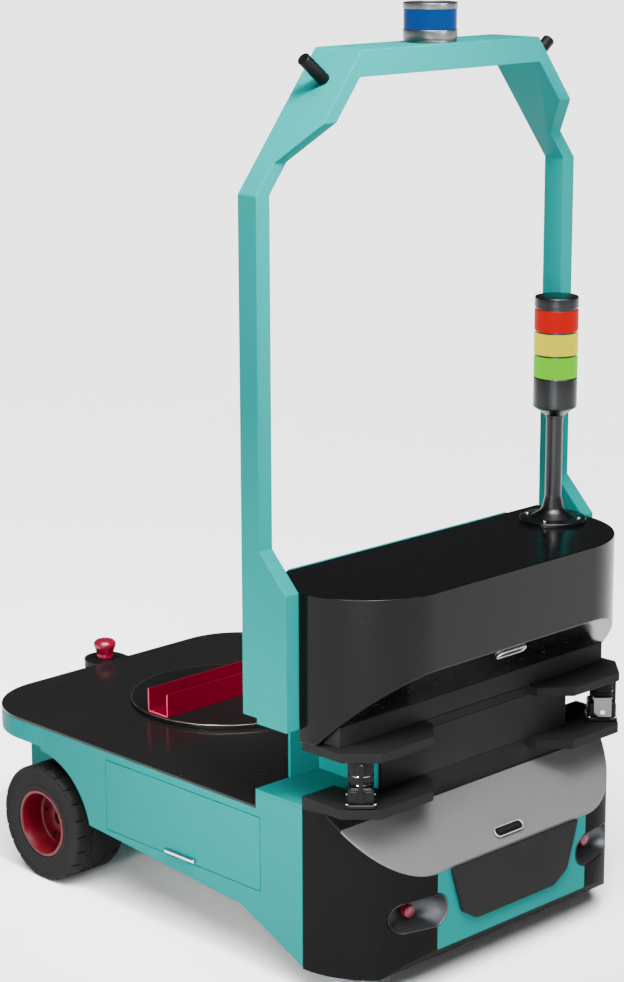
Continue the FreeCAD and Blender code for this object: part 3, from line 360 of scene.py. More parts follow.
def makePaint(name, colour, rough, sheen=0.2, dust=0.06, smudge=0.1, peel=0.1):
    # enamel: colour drifts a little, smudges and scratches change its gloss, dust lies low down
    material, tree, shader = startFinish(name)
    skin = useGroup(tree, paintSkin, {"Smudge Amount": smudge})
    dirt = useGroup(tree, floorDust, {"Amount": dust})
    deep, pale = shaded(colour, 1 - wear["drift"]), shaded(colour, 1 + wear["drift"])
    base = mixColour(tree, skin["Tint"], deep, pale)
    base = mixColour(tree, addMath(tree, "MULTIPLY", skin["Scratch"], wear["scratchShow"]), base,
                     shaded(colour, *wear["scratchColour"]))
    base = mixColour(tree, dirt["Cover"], base, wear["paintDust"])
    tree.links.new(base, shader.inputs["Base Color"])
    gloss = addMath(tree, "ADD", skin["Smudge"], rough)
    gloss = addMath(tree, "MULTIPLY_ADD", skin["Scratch"], wear["scratchDull"], gloss)
    gloss = addMath(tree, "MULTIPLY_ADD", dirt["Dust"], wear["paintDustDull"], gloss, clamp=True)
    tree.links.new(gloss, shader.inputs["Roughness"])
    shader.inputs["IOR"].default_value = 1 + 2 * sheen
    addBump(tree, shader, skin["Height"], peel, wear["grainDeep"])
    return material


def makePlastic(name, colour, rough, sheen=0.3, grain=0.3, dust=0.06, patch=0.08):
    # moulded plastic or rubber: fine grain, blotches in its gloss, dust low down
    material, tree, shader = startFinish(name)
    skin = useGroup(tree, mouldGrain, {"Patch Amount": patch})
    dirt = useGroup(tree, floorDust, {"Amount": dust})
    base = mixColour(tree, addMath(tree, "MULTIPLY", skin["Patch"], wear["patchShow"]), colour,
                     shaded(colour, *wear["patchColour"]))
    base = mixColour(tree, dirt["Cover"], base, wear["plasticDust"])
    tree.links.new(base, shader.inputs["Base Color"])
    gloss = addMath(tree, "ADD", skin["Blotch"], rough)
    gloss = addMath(tree, "MULTIPLY_ADD", dirt["Dust"], wear["plasticDustDull"], gloss, clamp=True)
    tree.links.new(gloss, shader.inputs["Roughness"])
    shader.inputs["Specular IOR Level"].default_value = sheen
    addBump(tree, shader, skin["Height"], grain, wear["grainDeep"])
    return material


def makeMetal(name, colour, rough, lines=0.25, streak=0.15):
    # bare metal with long brushing lines
    material, tree, shader = startFinish(name)
    skin = useGroup(tree, brushing, {"Streak Amount": streak})
    tree.links.new(mixColour(tree, skin["Streak"], shaded(colour, wear["streakColour"]), colour),
                   shader.inputs["Base Color"])
    tree.links.new(addMath(tree, "ADD", skin["Dulling"], rough, clamp=True), shader.inputs["Roughness"])
    shader.inputs["Metallic"].default_value = 1.0
    addBump(tree, shader, skin["Height"], lines, wear["lineDeep"])
    return material


def makeLens(name, colour, light, strength, rough=0.2):
    # lamp lens: dark clear plastic lit from inside, a little cloudy; the lidar window takes it too, and there
    # the light is a painted glow
    material, tree, shader = startFinish(name)
    cloud = addNoise(tree, onObject(tree), glass["cloudScale"], detail=3.0)
    tree.links.new(mixColour(tree, cloud, shaded(light, glass["cloudColour"]), light),
                   shader.inputs["Emission Color"])
    shader.inputs["Emission Strength"].default_value = strength
    shader.inputs["Base Color"].default_value = colour
    gloss = addMath(tree, "MULTIPLY_ADD", cloud, glass["cloudDull"], rough)
    tree.links.new(gloss, shader.inputs["Roughness"])
    shader.inputs["IOR"].default_value = glass["gloss"]
    addBump(tree, shader, cloud, glass["bump"], glass["deep"])
    return material


def makeFloorPaper(dark, pale):
    # matt paper with faint clouds between two greys
    material, tree, shader = startFinish("floorPaper")
    cloud = addNoise(tree, onObject(tree), scale=1.2, detail=3.0)
    tree.links.new(mixColour(tree, cloud, (dark, dark, dark, 1), (pale, pale, pale, 1)),
                   shader.inputs["Base Color"])
    shader.inputs["Roughness"].default_value = 0.8
    return material


# each slot's finish: colour, roughness, and what differs from the usual paint, plastic, metal or lens
finishes = {
    "teal_paint": makePaint("tealPaint", (0.0, 0.11, 0.104, 1), 0.36, sheen=0.04, dust=0.012),
    "black_gloss": makePaint("blackGloss", (0.0014, 0.0014, 0.0015, 1), 0.18, sheen=0.11, peel=0.03,
                             smudge=0.05),
    "dark_paint": makePaint("darkPaint", (0.0068, 0.0068, 0.007, 1), 0.45, sheen=0.055, dust=0.02),
    "grey_paint": makePaint("greyPaint", (0.075, 0.075, 0.075, 1), 0.36, sheen=0.12, dust=0.02),
    "black_steel": makePaint("blackSteel", (0.003, 0.0031, 0.0033, 1), 0.36, sheen=0.08, dust=0.02),
    "scoop_metal": makeMetal("scoopMetal", (0.06, 0.063, 0.068, 1), 0.42, lines=0.05),
    "red_plastic": makePlastic("redPlastic", (0.1, 0.0002, 0.01, 1), 0.16, sheen=0.4, grain=0.02, dust=0.0),
    "red_paint": makePaint("redPaint", (0.055, 0.0001, 0.0045, 1), 0.2, sheen=0.12, dust=0.01),
    "rim_paint": makePaint("rimPaint", (0.05, 0.0003, 0.003, 1), 0.3, sheen=0.13, dust=0.01),
    "tyre_rubber": makePlastic("tyreRubber", (0.005, 0.0048, 0.0047, 1), 0.62, sheen=0.06, dust=0.02),
    "chrome": makeMetal("chromePlate", (0.6, 0.61, 0.62, 1), 0.14, lines=0.03, streak=0.08),
    "scanner_plastic": makePlastic("scannerPlastic", (0.0014, 0.0014, 0.0014, 1), 0.35, sheen=0.1,
                                   dust=0.0),
    "silver": makeMetal("silverCase", (0.13, 0.132, 0.134, 1), 0.24),
    # the lidar window is no lamp: its emitted blue is a painted glow
    "lidar_blue": makeLens("lidarBluePaintedGlow", (0.0, 0.004, 0.02, 1), (0.0, 0.055, 0.25, 1), 1.0, rough=0.1),
    "lamp_grey": makeMetal("lampGrey", (0.03, 0.031, 0.032, 1), 0.28),
    "lamp_red": makeLens("lampRed", (0.0, 0.0, 0.0, 1), (0.9, 0.0, 0.0, 1), 1.0),
    "lamp_amber": makeLens("lampAmber", (0.0, 0.0, 0.0, 1), (1.0, 0.88, 0.0, 1), 1.25),
    "lamp_green": makeLens("lampGreen", (0.0, 0.0, 0.0, 1), (0.22, 1.0, 0.0, 1), 1.0),
    "battery_case": makePlastic("batteryCase", (0.012, 0.0125, 0.013, 1), 0.5),
    "castor_steel": makeMetal("castorSteel", (0.2, 0.205, 0.21, 1), 0.38),
    "castor_tread": makePlastic("castorTread", (0.006, 0.006, 0.006, 1), 0.6),
}
floorMesh.materials.append(makeFloorPaper(dark=0.92, pale=0.95))
for label, item in nodes.items():
    item.data.materials.clear()
    item.data.materials.append(finishes[slotOf[label]])
print("finishes built:", len(finishes))


# tools for pieces
def addPiece(name, mesh, node, slotName, material=None, stands=()):
    # a new piece at the origin that rides the same body as a node
    piece = bpy.data.objects.new(name, mesh)
    bpy.context.scene.collection.objects.link(piece)
    mesh.materials.append(material or finishes[slotName])
    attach(piece, bodyOf[node])
    if stands:
        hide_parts(*stands)
    return piece


def addTrim(name, node, slotName, grids, material=None, **shape):
    # a piece that a node carries, made from grids of points
    return addPiece(name, meshOf(name, grids, **shape), node, slotName, material)


def dressNode(name, node, grids, material=None, **shape):
    # a finer form that takes a node's place, in its slot
    return addPiece(name, meshOf(name, grids, **shape), node, slotOf[node], material, [node])


def meshOf(name, grids, loopRows=False, loopColumns=True, sharp=32):
    # one mesh of many like grids: points is (count, rows, columns, 3); a quad joins each four neighbours,
    # points that fall together are merged, and faces are turned outward
    grids = np.asarray(grids, dtype=float)
    if grids.ndim == 3:
        grids = grids[None]
    count, rows, columns, _ = grids.shape
    index = np.arange(count * rows * columns).reshape(count, rows, columns)
    if loopRows:
        index = np.concatenate([index, index[:, :1]], axis=1)
    if loopColumns:
        index = np.concatenate([index, index[:, :, :1]], axis=2)
    quads = np.stack([index[:, :-1, :-1], index[:, :-1, 1:], index[:, 1:, 1:], index[:, 1:, :-1]], axis=-1)
    mesh = bpy.data.meshes.new(name)
    mesh.from_pydata(grids.reshape(-1, 3).tolist(), [], quads.reshape(-1, 4).tolist())
    form = bmesh.new()
    form.from_mesh(mesh)
    bmesh.ops.remove_doubles(form, verts=form.verts, dist=1e-6)
    bmesh.ops.recalc_face_normals(form, faces=form.faces)
    form.to_mesh(mesh)
    form.free()
    mesh.shade_smooth()
    mesh.set_sharp_from_angle(angle=math.radians(sharp))
    return mesh


def upright(node):
    # the low and high corner of a round node's box, its radius, and the foot of its upright axis
    low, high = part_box(node)
    return low, high, (high.x - low.x) / 2, np.array(((low.x + high.x) / 2, (low.y + high.y) / 2, 0.0))


def softPath(corners, steps, closed=False):
    # a path through corners (across, along, radius); a corner with a radius becomes an arc that starts and
    # ends radius / tan(half its angle) away from it, and the radius shrinks where a side is short
    points = np.array([corner[:2] for corner in corners], dtype=float)
    count = len(points)
    path = []
    for k, corner in enumerate(corners):
        radius = corner[2] if len(corner) > 2 else 0.0
        if radius == 0.0 or (not closed and k in (0, count - 1)):
            path.append(points[k][None])
            continue
        back, onward = points[k - 1] - points[k], points[(k + 1) % count] - points[k]
        shorter = min(np.linalg.norm(back), np.linalg.norm(onward))
        back /= np.linalg.norm(back)
        onward /= np.linalg.norm(onward)
        half = math.acos(float(np.clip(back @ onward, -1, 1))) / 2
        radius = min(radius, 0.45 * math.tan(half) * shorter)
        middle = back + onward
        centre = points[k] + middle / np.linalg.norm(middle) * radius / math.sin(half)
        first = points[k] + back * radius / math.tan(half) - centre
        last = points[k] + onward * radius / math.tan(half) - centre
        share = np.linspace(0, 1, steps + 1)[:, None]
        sweep = math.pi - 2 * half
        arc = (np.sin((1 - share) * sweep) * first + np.sin(share * sweep) * last) / math.sin(sweep)
        path.append(centre + arc)
    return np.concatenate(path)


def mirrored(corners, across, along):
    # the same corners in reverse order, each coordinate times its sign
    return [(corner[0] * across, corner[1] * along, *corner[2:]) for corner in reversed(corners)]


def rectangle(low, high, radius):
    # four corners from low to high, each with the same radius
    return [(low[0], low[1], radius), (high[0], low[1], radius), (high[0], high[1], radius),
            (low[0], high[1], radius)]


def inPlane(outline, place, run, up=(0, 0, 1)):
    # points of an outline: place + across * run + along * up
    across, along = outline[:, :1], outline[:, 1:]
    return np.asarray(place, dtype=float) + across * np.asarray(run) + along * np.asarray(up)


def axes(along):
    # three unit directions at right angles, the third along the given one and the first level
    along = np.array(along, dtype=float) / np.linalg.norm(along)
    first = np.cross((0, 0, 1), along)
    if np.linalg.norm(first) < 1e-6:
        first = np.cross((0, 1, 0), along)
    first /= np.linalg.norm(first)
    return first, np.cross(along, first), along


def evenly(count, start=0.0):
    # angles at equal steps round a full circle
    return np.arange(count) * 2 * math.pi / count + start


def turned(path, place, along=(0, 0, 1), steps=64):
    # a path of (radius, height) turned about an axis: place + radius * (cos a, sin a) + height * along
    path = np.asarray(path, dtype=float)
    first, second, along = axes(along)
    angle = evenly(steps)
    ring = np.cos(angle)[:, None] * first + np.sin(angle)[:, None] * second
    return np.asarray(place) + path[:, 0, None, None] * ring[None] + path[:, 1, None, None] * along


def aroundCircle(angles, radius, centre, up=(0, 1, 0)):
    # places round a circle: centre + radius * (cos a * X + sin a * up)
    angles = np.asarray(angles)[:, None]
    ring = np.cos(angles) * np.array((1, 0, 0)) + np.sin(angles) * np.array(up)
    return np.asarray(centre) + radius * ring


def spread(grid, places):
    # the same grid at many places
    return np.asarray(grid)[None] + np.asarray(places, dtype=float)[:, None, None, :]


def slab(outline, along, low, high, edge=0.0006):
    # a closed plate: the outline's points, pulled in by edge at both faces, and a middle point on each face
    middle = outline.mean(axis=0)
    inward = middle - outline
    inward /= np.linalg.norm(inward, axis=1)[:, None]
    along = np.asarray(along, dtype=float)
    rows = [np.broadcast_to(middle + along * low, outline.shape), outline + inward * edge + along * low,
            outline + along * (low + edge), outline + along * (high - edge),
            outline + inward * edge + along * high, np.broadcast_to(middle + along * high, outline.shape)]
    return np.stack(rows)


def roundedBox(low, high, radius):
    # upright box with rounded edges: the softened rectangle in plan, closed with softened top and bottom
    plan = softPath(rectangle(low, high, radius), steps=4, closed=True)
    return slab(inPlane(plan, (0, 0, 0), (1, 0, 0), (0, 1, 0)), (0, 0, 1), low[2], high[2], radius * 0.5)


def stadium(place, run, up, halfLength, halfTall, steps=14):
    # points round a long oval: two half circles joined by straight sides
    angle = np.concatenate([np.linspace(-math.pi / 2, math.pi / 2, steps),
                            np.linspace(math.pi / 2, 3 * math.pi / 2, steps)])
    shift = np.where(np.arange(2 * steps) < steps, 1, -1) * (halfLength - halfTall)
    across = shift + halfTall * np.cos(angle)
    rise = halfTall * np.sin(angle)
    return np.asarray(place) + across[:, None] * np.asarray(run) + rise[:, None] * np.asarray(up)


def screwHead(radius, low, top, socket, floorAt, soft):
    # profile of a round head from low to top: its rim is softened, and its socket narrows to a floor
    narrowing = 0.0002
    return softPath([(0, low), (radius, low), (radius, top, soft), (socket, top),
                     (socket - narrowing, floorAt), (0, floorAt)], steps=3)


def grooveRound(radius, deep, heights):
    # four corners of a groove in a turned side: its edge, its floor from and to, and its other edge
    start, floorFrom, floorTo, end = heights
    return [(radius, start), (radius - deep, floorFrom), (radius - deep, floorTo), (radius, end)]


# panels with rounded edges
soften = {
    "merge": 2e-6,
    "flat": 0.4,  # degrees: faces closer than this are one
    "edgeAngle": 28,
    "steps": 2,
}
edges = {  # each node's rounding
    "gantry": 0.0015, "deck_frame": 0.0015, "deck_plate": 0.001, "side_panels": 0.0008,
    "nose_shell": 0.001, "nose_front": 0.0006, "nose_top": 0.0008, "console": 0.0012,
    "console_top": 0.0015, "scanner_plate_low": 0.0015, "scanner_plate_high": 0.0015, "head_box": 0.002,
    "neck_plate": 0.001, "chassis_tub": 0.0015, "hatch": 0.0008, "door_left": 0.0006,
    "door_right": 0.0006, "hitch_tab": 0.0015, "channel": 0.0008, "turntable": 0.0012,
}
satinBlack = makePaint("satinBlack", (0.0042, 0.0042, 0.0044, 1), 0.5, sheen=0.03, dust=0.02)
# the deck's copy of the gloss black is lighter than the head's, so the deck reads brighter: painted light
deckLitBlack = makePaint("deckLitBlack", (0.0042, 0.0042, 0.0043, 1), 0.16, sheen=0.13, peel=0.03, smudge=0.06)
# the console's copy of the dark paint is lighter than the plates', so the console reads brighter: painted light
consoleLitPaint = makePaint("consoleLitPaint", (0.0105, 0.0105, 0.0108, 1), 0.45, sheen=0.055, dust=0.02)
skins = {"nose_shell": satinBlack, "hitch_tab": finishes["black_steel"], "deck_plate": deckLitBlack,
         "console": consoleLitPaint, "console_top": consoleLitPaint}


def softenNode(node, width, material=None):
    # the node's own form, joined up, with its edges rounded over
    form = bmesh.new()
    form.from_mesh(nodes[node].data)
    bmesh.ops.remove_doubles(form, verts=form.verts, dist=soften["merge"])
    bmesh.ops.dissolve_limit(form, angle_limit=math.radians(soften["flat"]), verts=form.verts,
                             edges=form.edges)
    mesh = bpy.data.meshes.new(node + "Form")
    form.to_mesh(mesh)
    form.free()
    mesh.shade_smooth()
    mesh.set_sharp_from_angle(angle=math.radians(soften["edgeAngle"]))
    piece = addPiece(node + "Soft", mesh, node, slotOf[node], material, [node])
    bevel = piece.modifiers.new("edges", "BEVEL")
    bevel.width = width
    bevel.segments = soften["steps"]
    bevel.limit_method = "ANGLE"
    bevel.angle_limit = math.radians(soften["edgeAngle"])
    bevel.harden_normals = True
    bevel.use_clamp_overlap = True


for label, width in edges.items():
    softenNode(label, width, skins.get(label))
print("edges rounded")


# bumper plate
bumper = {
    "waist": 0.834,  # half width at the waist, as a share of the top's
    "waistUp": 0.203,  # height of the waist, as a share of the whole
    "foot": 0.619,
    "corner": 0.016,
    "topCorner": 0.003,
    "edge": 0.003,
}
low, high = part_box("bumper_plate")
waistAt = low.z + (high.z - low.z) * bumper["waistUp"]
rightHalf = [(high.y * bumper["foot"], low.z, bumper["corner"]),
             (high.y * bumper["waist"], waistAt, bumper["corner"]), (high.y, high.z, bumper["topCorner"])]
outline = softPath(rightHalf + mirrored(rightHalf, -1, 1), steps=6, closed=True)
plate = inPlane(outline, (low.x, 0, 0), (0, 1, 0))
dressNode("bumper_plate_pad", "bumper_plate", slab(plate, (1, 0, 0), 0.0, high.x - low.x, bumper["edge"]))

# black strips on the cut ends of the two scanner plates: painted shade, darker than the plates' own paint
wing = {
    "inset": 0.052,  # of the slanting end, along X and Y
    "length": 0.137,
    "thick": 0.018,
    "margin": 0.001,
    "corner": 0.001,
    "proud": 0.0005,
    "sunk": 0.0006,
    "edge": 0.0003,
}
low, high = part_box("scanner_plate_high")
inner = high.y - wing["inset"] - wing["length"]
ends = []
for top in (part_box("console")[0].z, high.z):
    for side in (-1, 1):
        start = np.array((high.x - wing["inset"], side * (inner - wing["inset"]), 0))
        run = np.array((high.x, side * inner, 0)) - start
        span = np.linalg.norm(run)
        outline = softPath(rectangle((wing["margin"], top - wing["thick"] + wing["margin"]),
                                     (span - wing["margin"], top - wing["margin"]), wing["corner"]),
                           steps=3, closed=True)
        facing = np.array((1, -side, 0)) * math.sqrt(0.5)
        ends.append(slab(inPlane(outline, start, run / span), facing, -wing["sunk"], wing["proud"],
                         wing["edge"]))
# the strips darken the slanting ends, which look black for want of light: painted shade
addTrim("wing_end_shade_strips", "scanner_plate_low", "black_steel", np.stack(ends))
print("bumper plate and wing ends made")


# tyres
wheel = {
    "lugs": 22,  # slots round each shoulder, as in the solid
    "slotHalf": 0.0019,
    "slotReach": 0.02,  # from each face towards the middle
    "slotFlank": 0.0008,
    "slotEnd": 0.0012,
    "grooveHalf": 0.0024,
    "grooveAway": 0.021,  # from the middle of the tread
    "grooveFlank": 0.001,
    "grooveSwing": 0.003,
    "slack": 0.0005,
    "depth": 0.0038,
    "corner": 0.0042,
    "sunk": 0.0012,  # of the side wall between its two raised rings
    "bead": 0.003,  # chamfer at the bore
    "beadRing": 0.009,  # width of the inner ring
    "outerRing": 0.011,  # and of the outer one
    "ringSlope": 0.002,
    "soft": 0.001,
    "shoulder": 0.01,  # where the tread's rows start
    "fadeFrom": 0.006,  # below the tread, where the slots start to show
    "fadeOver": 0.004,
    "rows": 70,
    "columnsAway": (0, 0.0007, 0.0014, 0.0019, 0.0024, 0.004, 0.007, 0.0105, 0.014),  # from a slot's middle
}


def wheelFace(side, low, high):
    # the outer face's middle of the wheel in a box on the right, and the direction from it into the wheel
    return np.array(((low.x + high.x) / 2, -side * low.y, (low.z + high.z) / 2)), np.array((0, -side, 0))


def within(inside, slope):
    # 0 outside an edge and 1 inside it, with a straight slope between
    return np.clip(inside / slope, 0, 1)


def tyreGrid(side, low, high, bore):
    # rows follow the section, columns the angle; the radius drops by depth inside slots and grooves
    radius = (high.z - low.z) / 2
    width = high.y - low.y
    soft, slope = wheel["soft"], wheel["ringSlope"]
    near = softPath([(bore, wheel["sunk"]), (bore + wheel["bead"], 0.0),
                     (bore + wheel["beadRing"], 0.0, soft),
                     (bore + wheel["beadRing"] + slope, wheel["sunk"], soft),
                     (radius - wheel["outerRing"] - slope, wheel["sunk"], soft),
                     (radius - wheel["outerRing"], 0.0, soft), (radius, 0.0, wheel["corner"]),
                     (radius, wheel["shoulder"])], steps=4)
    start = wheel["shoulder"] + wheel["slack"]
    tread = np.linspace(start, width - start, wheel["rows"])
    tread = np.stack([np.full_like(tread, radius), tread], axis=1)
    far = near[::-1] * (1, -1) + (0, width)
    path = np.concatenate([near, tread, far])
    pitch = 2 * math.pi / wheel["lugs"]
    away = np.array(wheel["columnsAway"])
    away = np.concatenate([-away[:0:-1], away])
    angle = (np.arange(wheel["lugs"])[:, None] * pitch + away[None] / radius).ravel()
    across = np.abs(path[:, 1] - width / 2)
    onTread = within(path[:, 0] - radius + wheel["fadeFrom"], wheel["fadeOver"])
    reach = wheel["slotHalf"] + wheel["slack"]
    fromSlot = np.abs((angle / pitch + 0.5) % 1 - 0.5) * pitch * radius
    inSlot = within(reach - fromSlot, wheel["slotFlank"])
    slotZone = within(across - (width / 2 - wheel["slotReach"]), wheel["slotEnd"])
    # the two grooves swing from side to side, twice between slots
    swing = wheel["grooveSwing"] * np.sin(2 * angle / pitch * 2 * math.pi)
    fromGroove = np.abs(across[:, None] - wheel["grooveAway"] - swing[None])
    inGroove = within(wheel["grooveHalf"] + wheel["slack"] - fromGroove, wheel["grooveFlank"])
    # short cuts across the middle band, half way between the slots
    fromCut = np.abs(angle / pitch % 1 - 0.5) * pitch * radius
    inCut = within(reach - fromCut, wheel["slotFlank"])
    cutZone = within(wheel["grooveAway"] - across, wheel["slotEnd"])
    sunk = np.maximum.reduce([slotZone[:, None] * inSlot[None], inGroove, cutZone[:, None] * inCut[None]])
    radii = path[:, 0, None] - wheel["depth"] * sunk * onTread[:, None]
    place, inward = wheelFace(side, low, high)
    ring = np.stack([np.cos(angle), np.zeros_like(angle), np.sin(angle)], axis=1)
    return place + radii[..., None] * ring[None] + path[:, 1, None, None] * inward


# rims, with their bolts and axle ends
rimForm = {
    "play": 0.0005,  # to the tyre's bore
    "lip": 0.0076,  # width of the ring seen from outside
    "dish": 0.05,
    "bed": (0.002, 0.012, 0.004),  # first step inside the lip: inward, deep, rounding
    "barrelFoot": (0.0035, 0.006),  # inward, rounding
    "hub": 0.031,
    "hubFoot": 0.004,
    "hubProud": 0.004,
    "hole": 0.0145,
    "holeDeep": 0.012,
    "soft": 0.0015,
    "bolts": 5,
    "boltAway": 0.044,
    "boltTurn": 0.5,
    "bolt": (0.0042, 0.003, -0.0035, 0.0024, -0.001, 0.0008),  # as screwHead takes them
    "axlePlay": 0.0022,
    "axleSunk": 0.0005,
    "centre": (0.004, 0.0035, 0.004),  # hole in the axle's end: radius at its mouth and floor, depth
    "holeTaper": 0.001,
}
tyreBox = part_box("tyre_right")
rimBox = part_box("rim_right")
rimRadius = (rimBox[1].z - rimBox[0].z) / 2
rimBack = rimBox[1].y - rimBox[0].y
barrel = rimRadius - rimForm["lip"]
outer = rimRadius - rimForm["play"]
dish, hub, hole, soft = (rimForm[key] for key in ("dish", "hub", "hole", "soft"))
bedIn, bedDeep, bedSoft = rimForm["bed"]
footIn, footSoft = rimForm["barrelFoot"]
hubAt, holeFloor = dish - rimForm["hubProud"], dish + rimForm["holeDeep"]
rimPath = softPath([
    (0, rimBack), (outer, rimBack, 0.002), (outer, 0.0, 0.0022), (barrel, 0.0, 0.0026),
    (barrel - bedIn, bedDeep, bedSoft), (barrel - footIn, dish, footSoft),
    (hub + rimForm["hubFoot"], dish, 0.003), (hub, hubAt, soft), (hole, hubAt, soft),
    (hole - rimForm["holeTaper"], holeFloor, 0.001), (0, holeFloor)], steps=5)
boltPath = screwHead(*rimForm["bolt"])
axle, axleAt = hole - rimForm["axlePlay"], rimForm["axleSunk"]
mouth, centreFloor, centreDeep = rimForm["centre"]
axlePath = softPath([(0, rimForm["holeDeep"]), (axle, rimForm["holeDeep"]), (axle, axleAt, soft),
                     (mouth, axleAt), (centreFloor, centreDeep), (0, centreDeep)], steps=3)
for side, label in ((-1, "right"), (1, "left")):
    tyre, rim = "tyre_" + label, "rim_" + label
    dressNode(tyre + "_tread", tyre, tyreGrid(side, *tyreBox, rimRadius), loopRows=True, sharp=40)
    place, inward = wheelFace(side, *rimBox)
    dressNode(rim + "_dish", rim, turned(rimPath, place, inward, 96))
    dishFloor = place + inward * dish
    boltTurns = evenly(rimForm["bolts"], rimForm["boltTurn"])
    places = aroundCircle(boltTurns, rimForm["boltAway"], dishFloor, up=(0, 0, 1))
    addTrim(rim + "_bolts", rim, "black_steel", spread(turned(boltPath, (0, 0, 0), inward, 18), places))
    addTrim("axle_end_" + label, rim, "black_steel", turned(axlePath, dishFloor, inward, 40))

# castor wheels
castor = {
    "bore": 0.008,
    "hub": 0.02,
    "hubSlope": 0.002,
    "webSunk": 0.004,
    "webOut": 0.7,  # where the web ends and the tread starts, as shares of the radius
    "treadIn": 0.78,
    "edge": 0.006,
    "crown": 0.0008,
    "crownSoft": 0.05,
}
for label in ("castor_wheel_right", "castor_wheel_left"):
    low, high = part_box(label)
    radius = (high.z - low.z) / 2
    half = (high.y - low.y) / 2
    web = -half + castor["webSunk"]
    near = [(castor["bore"], -half), (castor["hub"], -half, 0.001),
            (castor["hub"] + castor["hubSlope"], web, 0.001), (radius * castor["webOut"], web, 0.002),
            (radius * castor["treadIn"], -half, 0.003), (radius - castor["crown"], -half, castor["edge"])]
    path = softPath(near + [(radius, 0.0, castor["crownSoft"])] + mirrored(near, 1, -1), steps=4)
    dressNode(label + "_tread", label, turned(path, np.add(low, high) / 2, (0, 1, 0), 72), loopRows=True)
print("wheels made")


# lidar: base, window and cap, turned about one axis
lidar = {
    "soft": 0.0006,
    "edge": 0.0012,
    "footIn": 0.001,  # of the foot ring
    "footTop": 0.004,
    "groove": (0.0022, 0.0046, 0.006),  # of the groove over the foot: inward, from, to
    "bandFrom": 0.0068,
    "rimDrop": 0.001,
    "lip": 0.003,
    "lipSlope": 0.001,
    "lipDrop": 0.0004,
    "capSunk": 0.0016,
    "steps": 128,
    "screwAway": 0.035,
    "screwTurns": (0.7, 2.8, 4.9),
    "screw": (0.0022, 0.0, 0.0012, 0.0012, 0.0004, 0.0004),  # as screwHead takes them
}
low, high, radius, lidarAxis = upright("lidar_base")
foot = radius - lidar["footIn"]
grooveIn, grooveFrom, grooveTo = lidar["groove"]
path = softPath([(0, low.z), (foot, low.z), (foot, low.z + lidar["footTop"], 0.0004),
                 (radius - grooveIn, low.z + grooveFrom), (radius - grooveIn, low.z + grooveTo),
                 (radius, low.z + lidar["bandFrom"], lidar["soft"]), (radius, high.z, lidar["edge"]),
                 (0, high.z)], steps=4)
dressNode("lidar_base_ring", "lidar_base", turned(path, lidarAxis, steps=lidar["steps"]))
low, high, waist, _ = upright("lidar_window")
path = [(0, low.z), (waist, low.z), (waist, high.z), (0, high.z)]
dressNode("lidar_window_band", "lidar_window", turned(path, lidarAxis, steps=lidar["steps"]))
low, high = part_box("lidar_cap")
capTop = high.z - lidar["capSunk"]
lip = radius - lidar["lip"]
path = softPath([(0, low.z), (radius, low.z, lidar["soft"]),
                 (radius, high.z - lidar["rimDrop"], lidar["edge"]),
                 (lip, high.z - lidar["lipDrop"], lidar["soft"]), (lip - lidar["lipSlope"], capTop),
                 (0, capTop)], steps=4)
dressNode("lidar_cap_top", "lidar_cap", turned(path, lidarAxis, steps=lidar["steps"]))
headPath = screwHead(*lidar["screw"])
places = aroundCircle(lidar["screwTurns"], lidar["screwAway"], lidarAxis + (0, 0, capTop))
addTrim("lidar_screws", "lidar_cap", "black_steel", spread(turned(headPath, (0, 0, 0), steps=16), places))
print("lidar made")


# lamp stack: three ribbed lenses, the housing's rings, and the post with its flange
stack = {
    "ribs": 60,
    "rib": 0.0005,
    "lensIn": 0.001,  # of a lens's two ends
    "lensEnd": 0.002,
    "collar": 0.004,  # height of the dark collar over the red lens
    "collarIn": 0.0022,
    "groove": (0.0006, (0.003, 0.0034, 0.0048, 0.0052)),  # of the housing: depth, and four heights
    "steps": 96,
    "flangeTall": 0.007,
    # the flare over the flange: radius, height, rounding
    "bell": [(0.043, 0.0085, 0.006), (0.0235, 0.021, 0.02), (0.0165, 0.05, 0.03)],
    "pole": 0.0165,
    "sleeve": 0.0185,
    "sleeveFrom": 0.0215,  # below the post's top
    "sleeveTo": 0.017,
    "sleeveSlope": 0.0005,
    "cupIn": 0.002,  # of the post's upper end, under the housing
    "cupSlope": (0.001, 0.002, 0.004),  # inward, down, rounding
    "flangeScrews": 4,
    "screwAway": 0.053,
    "screwTurn": 0.4,
    "screwUp": 0.0002,  # over the flange's edge
    "screw": (0.0042, 0.0, 0.0032, 0.0024, 0.001, 0.0008),  # as screwHead takes them
}
for label in ("lamp_red", "lamp_amber", "lamp_green"):
    low, high, radius, stackAxis = upright(label)
    end, rise = radius - stack["lensIn"], stack["lensEnd"]
    path = softPath([(0, low.z), (end, low.z, 0.0005), (radius, low.z + rise, 0.0008),
                     (radius, high.z - rise, 0.0008), (end, high.z, 0.0005), (0, high.z)], steps=3)
    grid = turned(path, stackAxis, steps=stack["ribs"] * 4)
    # upright ribs: the side swings in by rib, in step with the angle
    away = grid[..., :2] - stackAxis[:2]
    angle = np.arctan2(away[..., 1], away[..., 0])
    grid[..., :2] -= away * (0.5 - 0.5 * np.cos(angle * stack["ribs"]))[..., None] * stack["rib"] / radius
    dressNode(label + "_lens", label, grid, sharp=50)

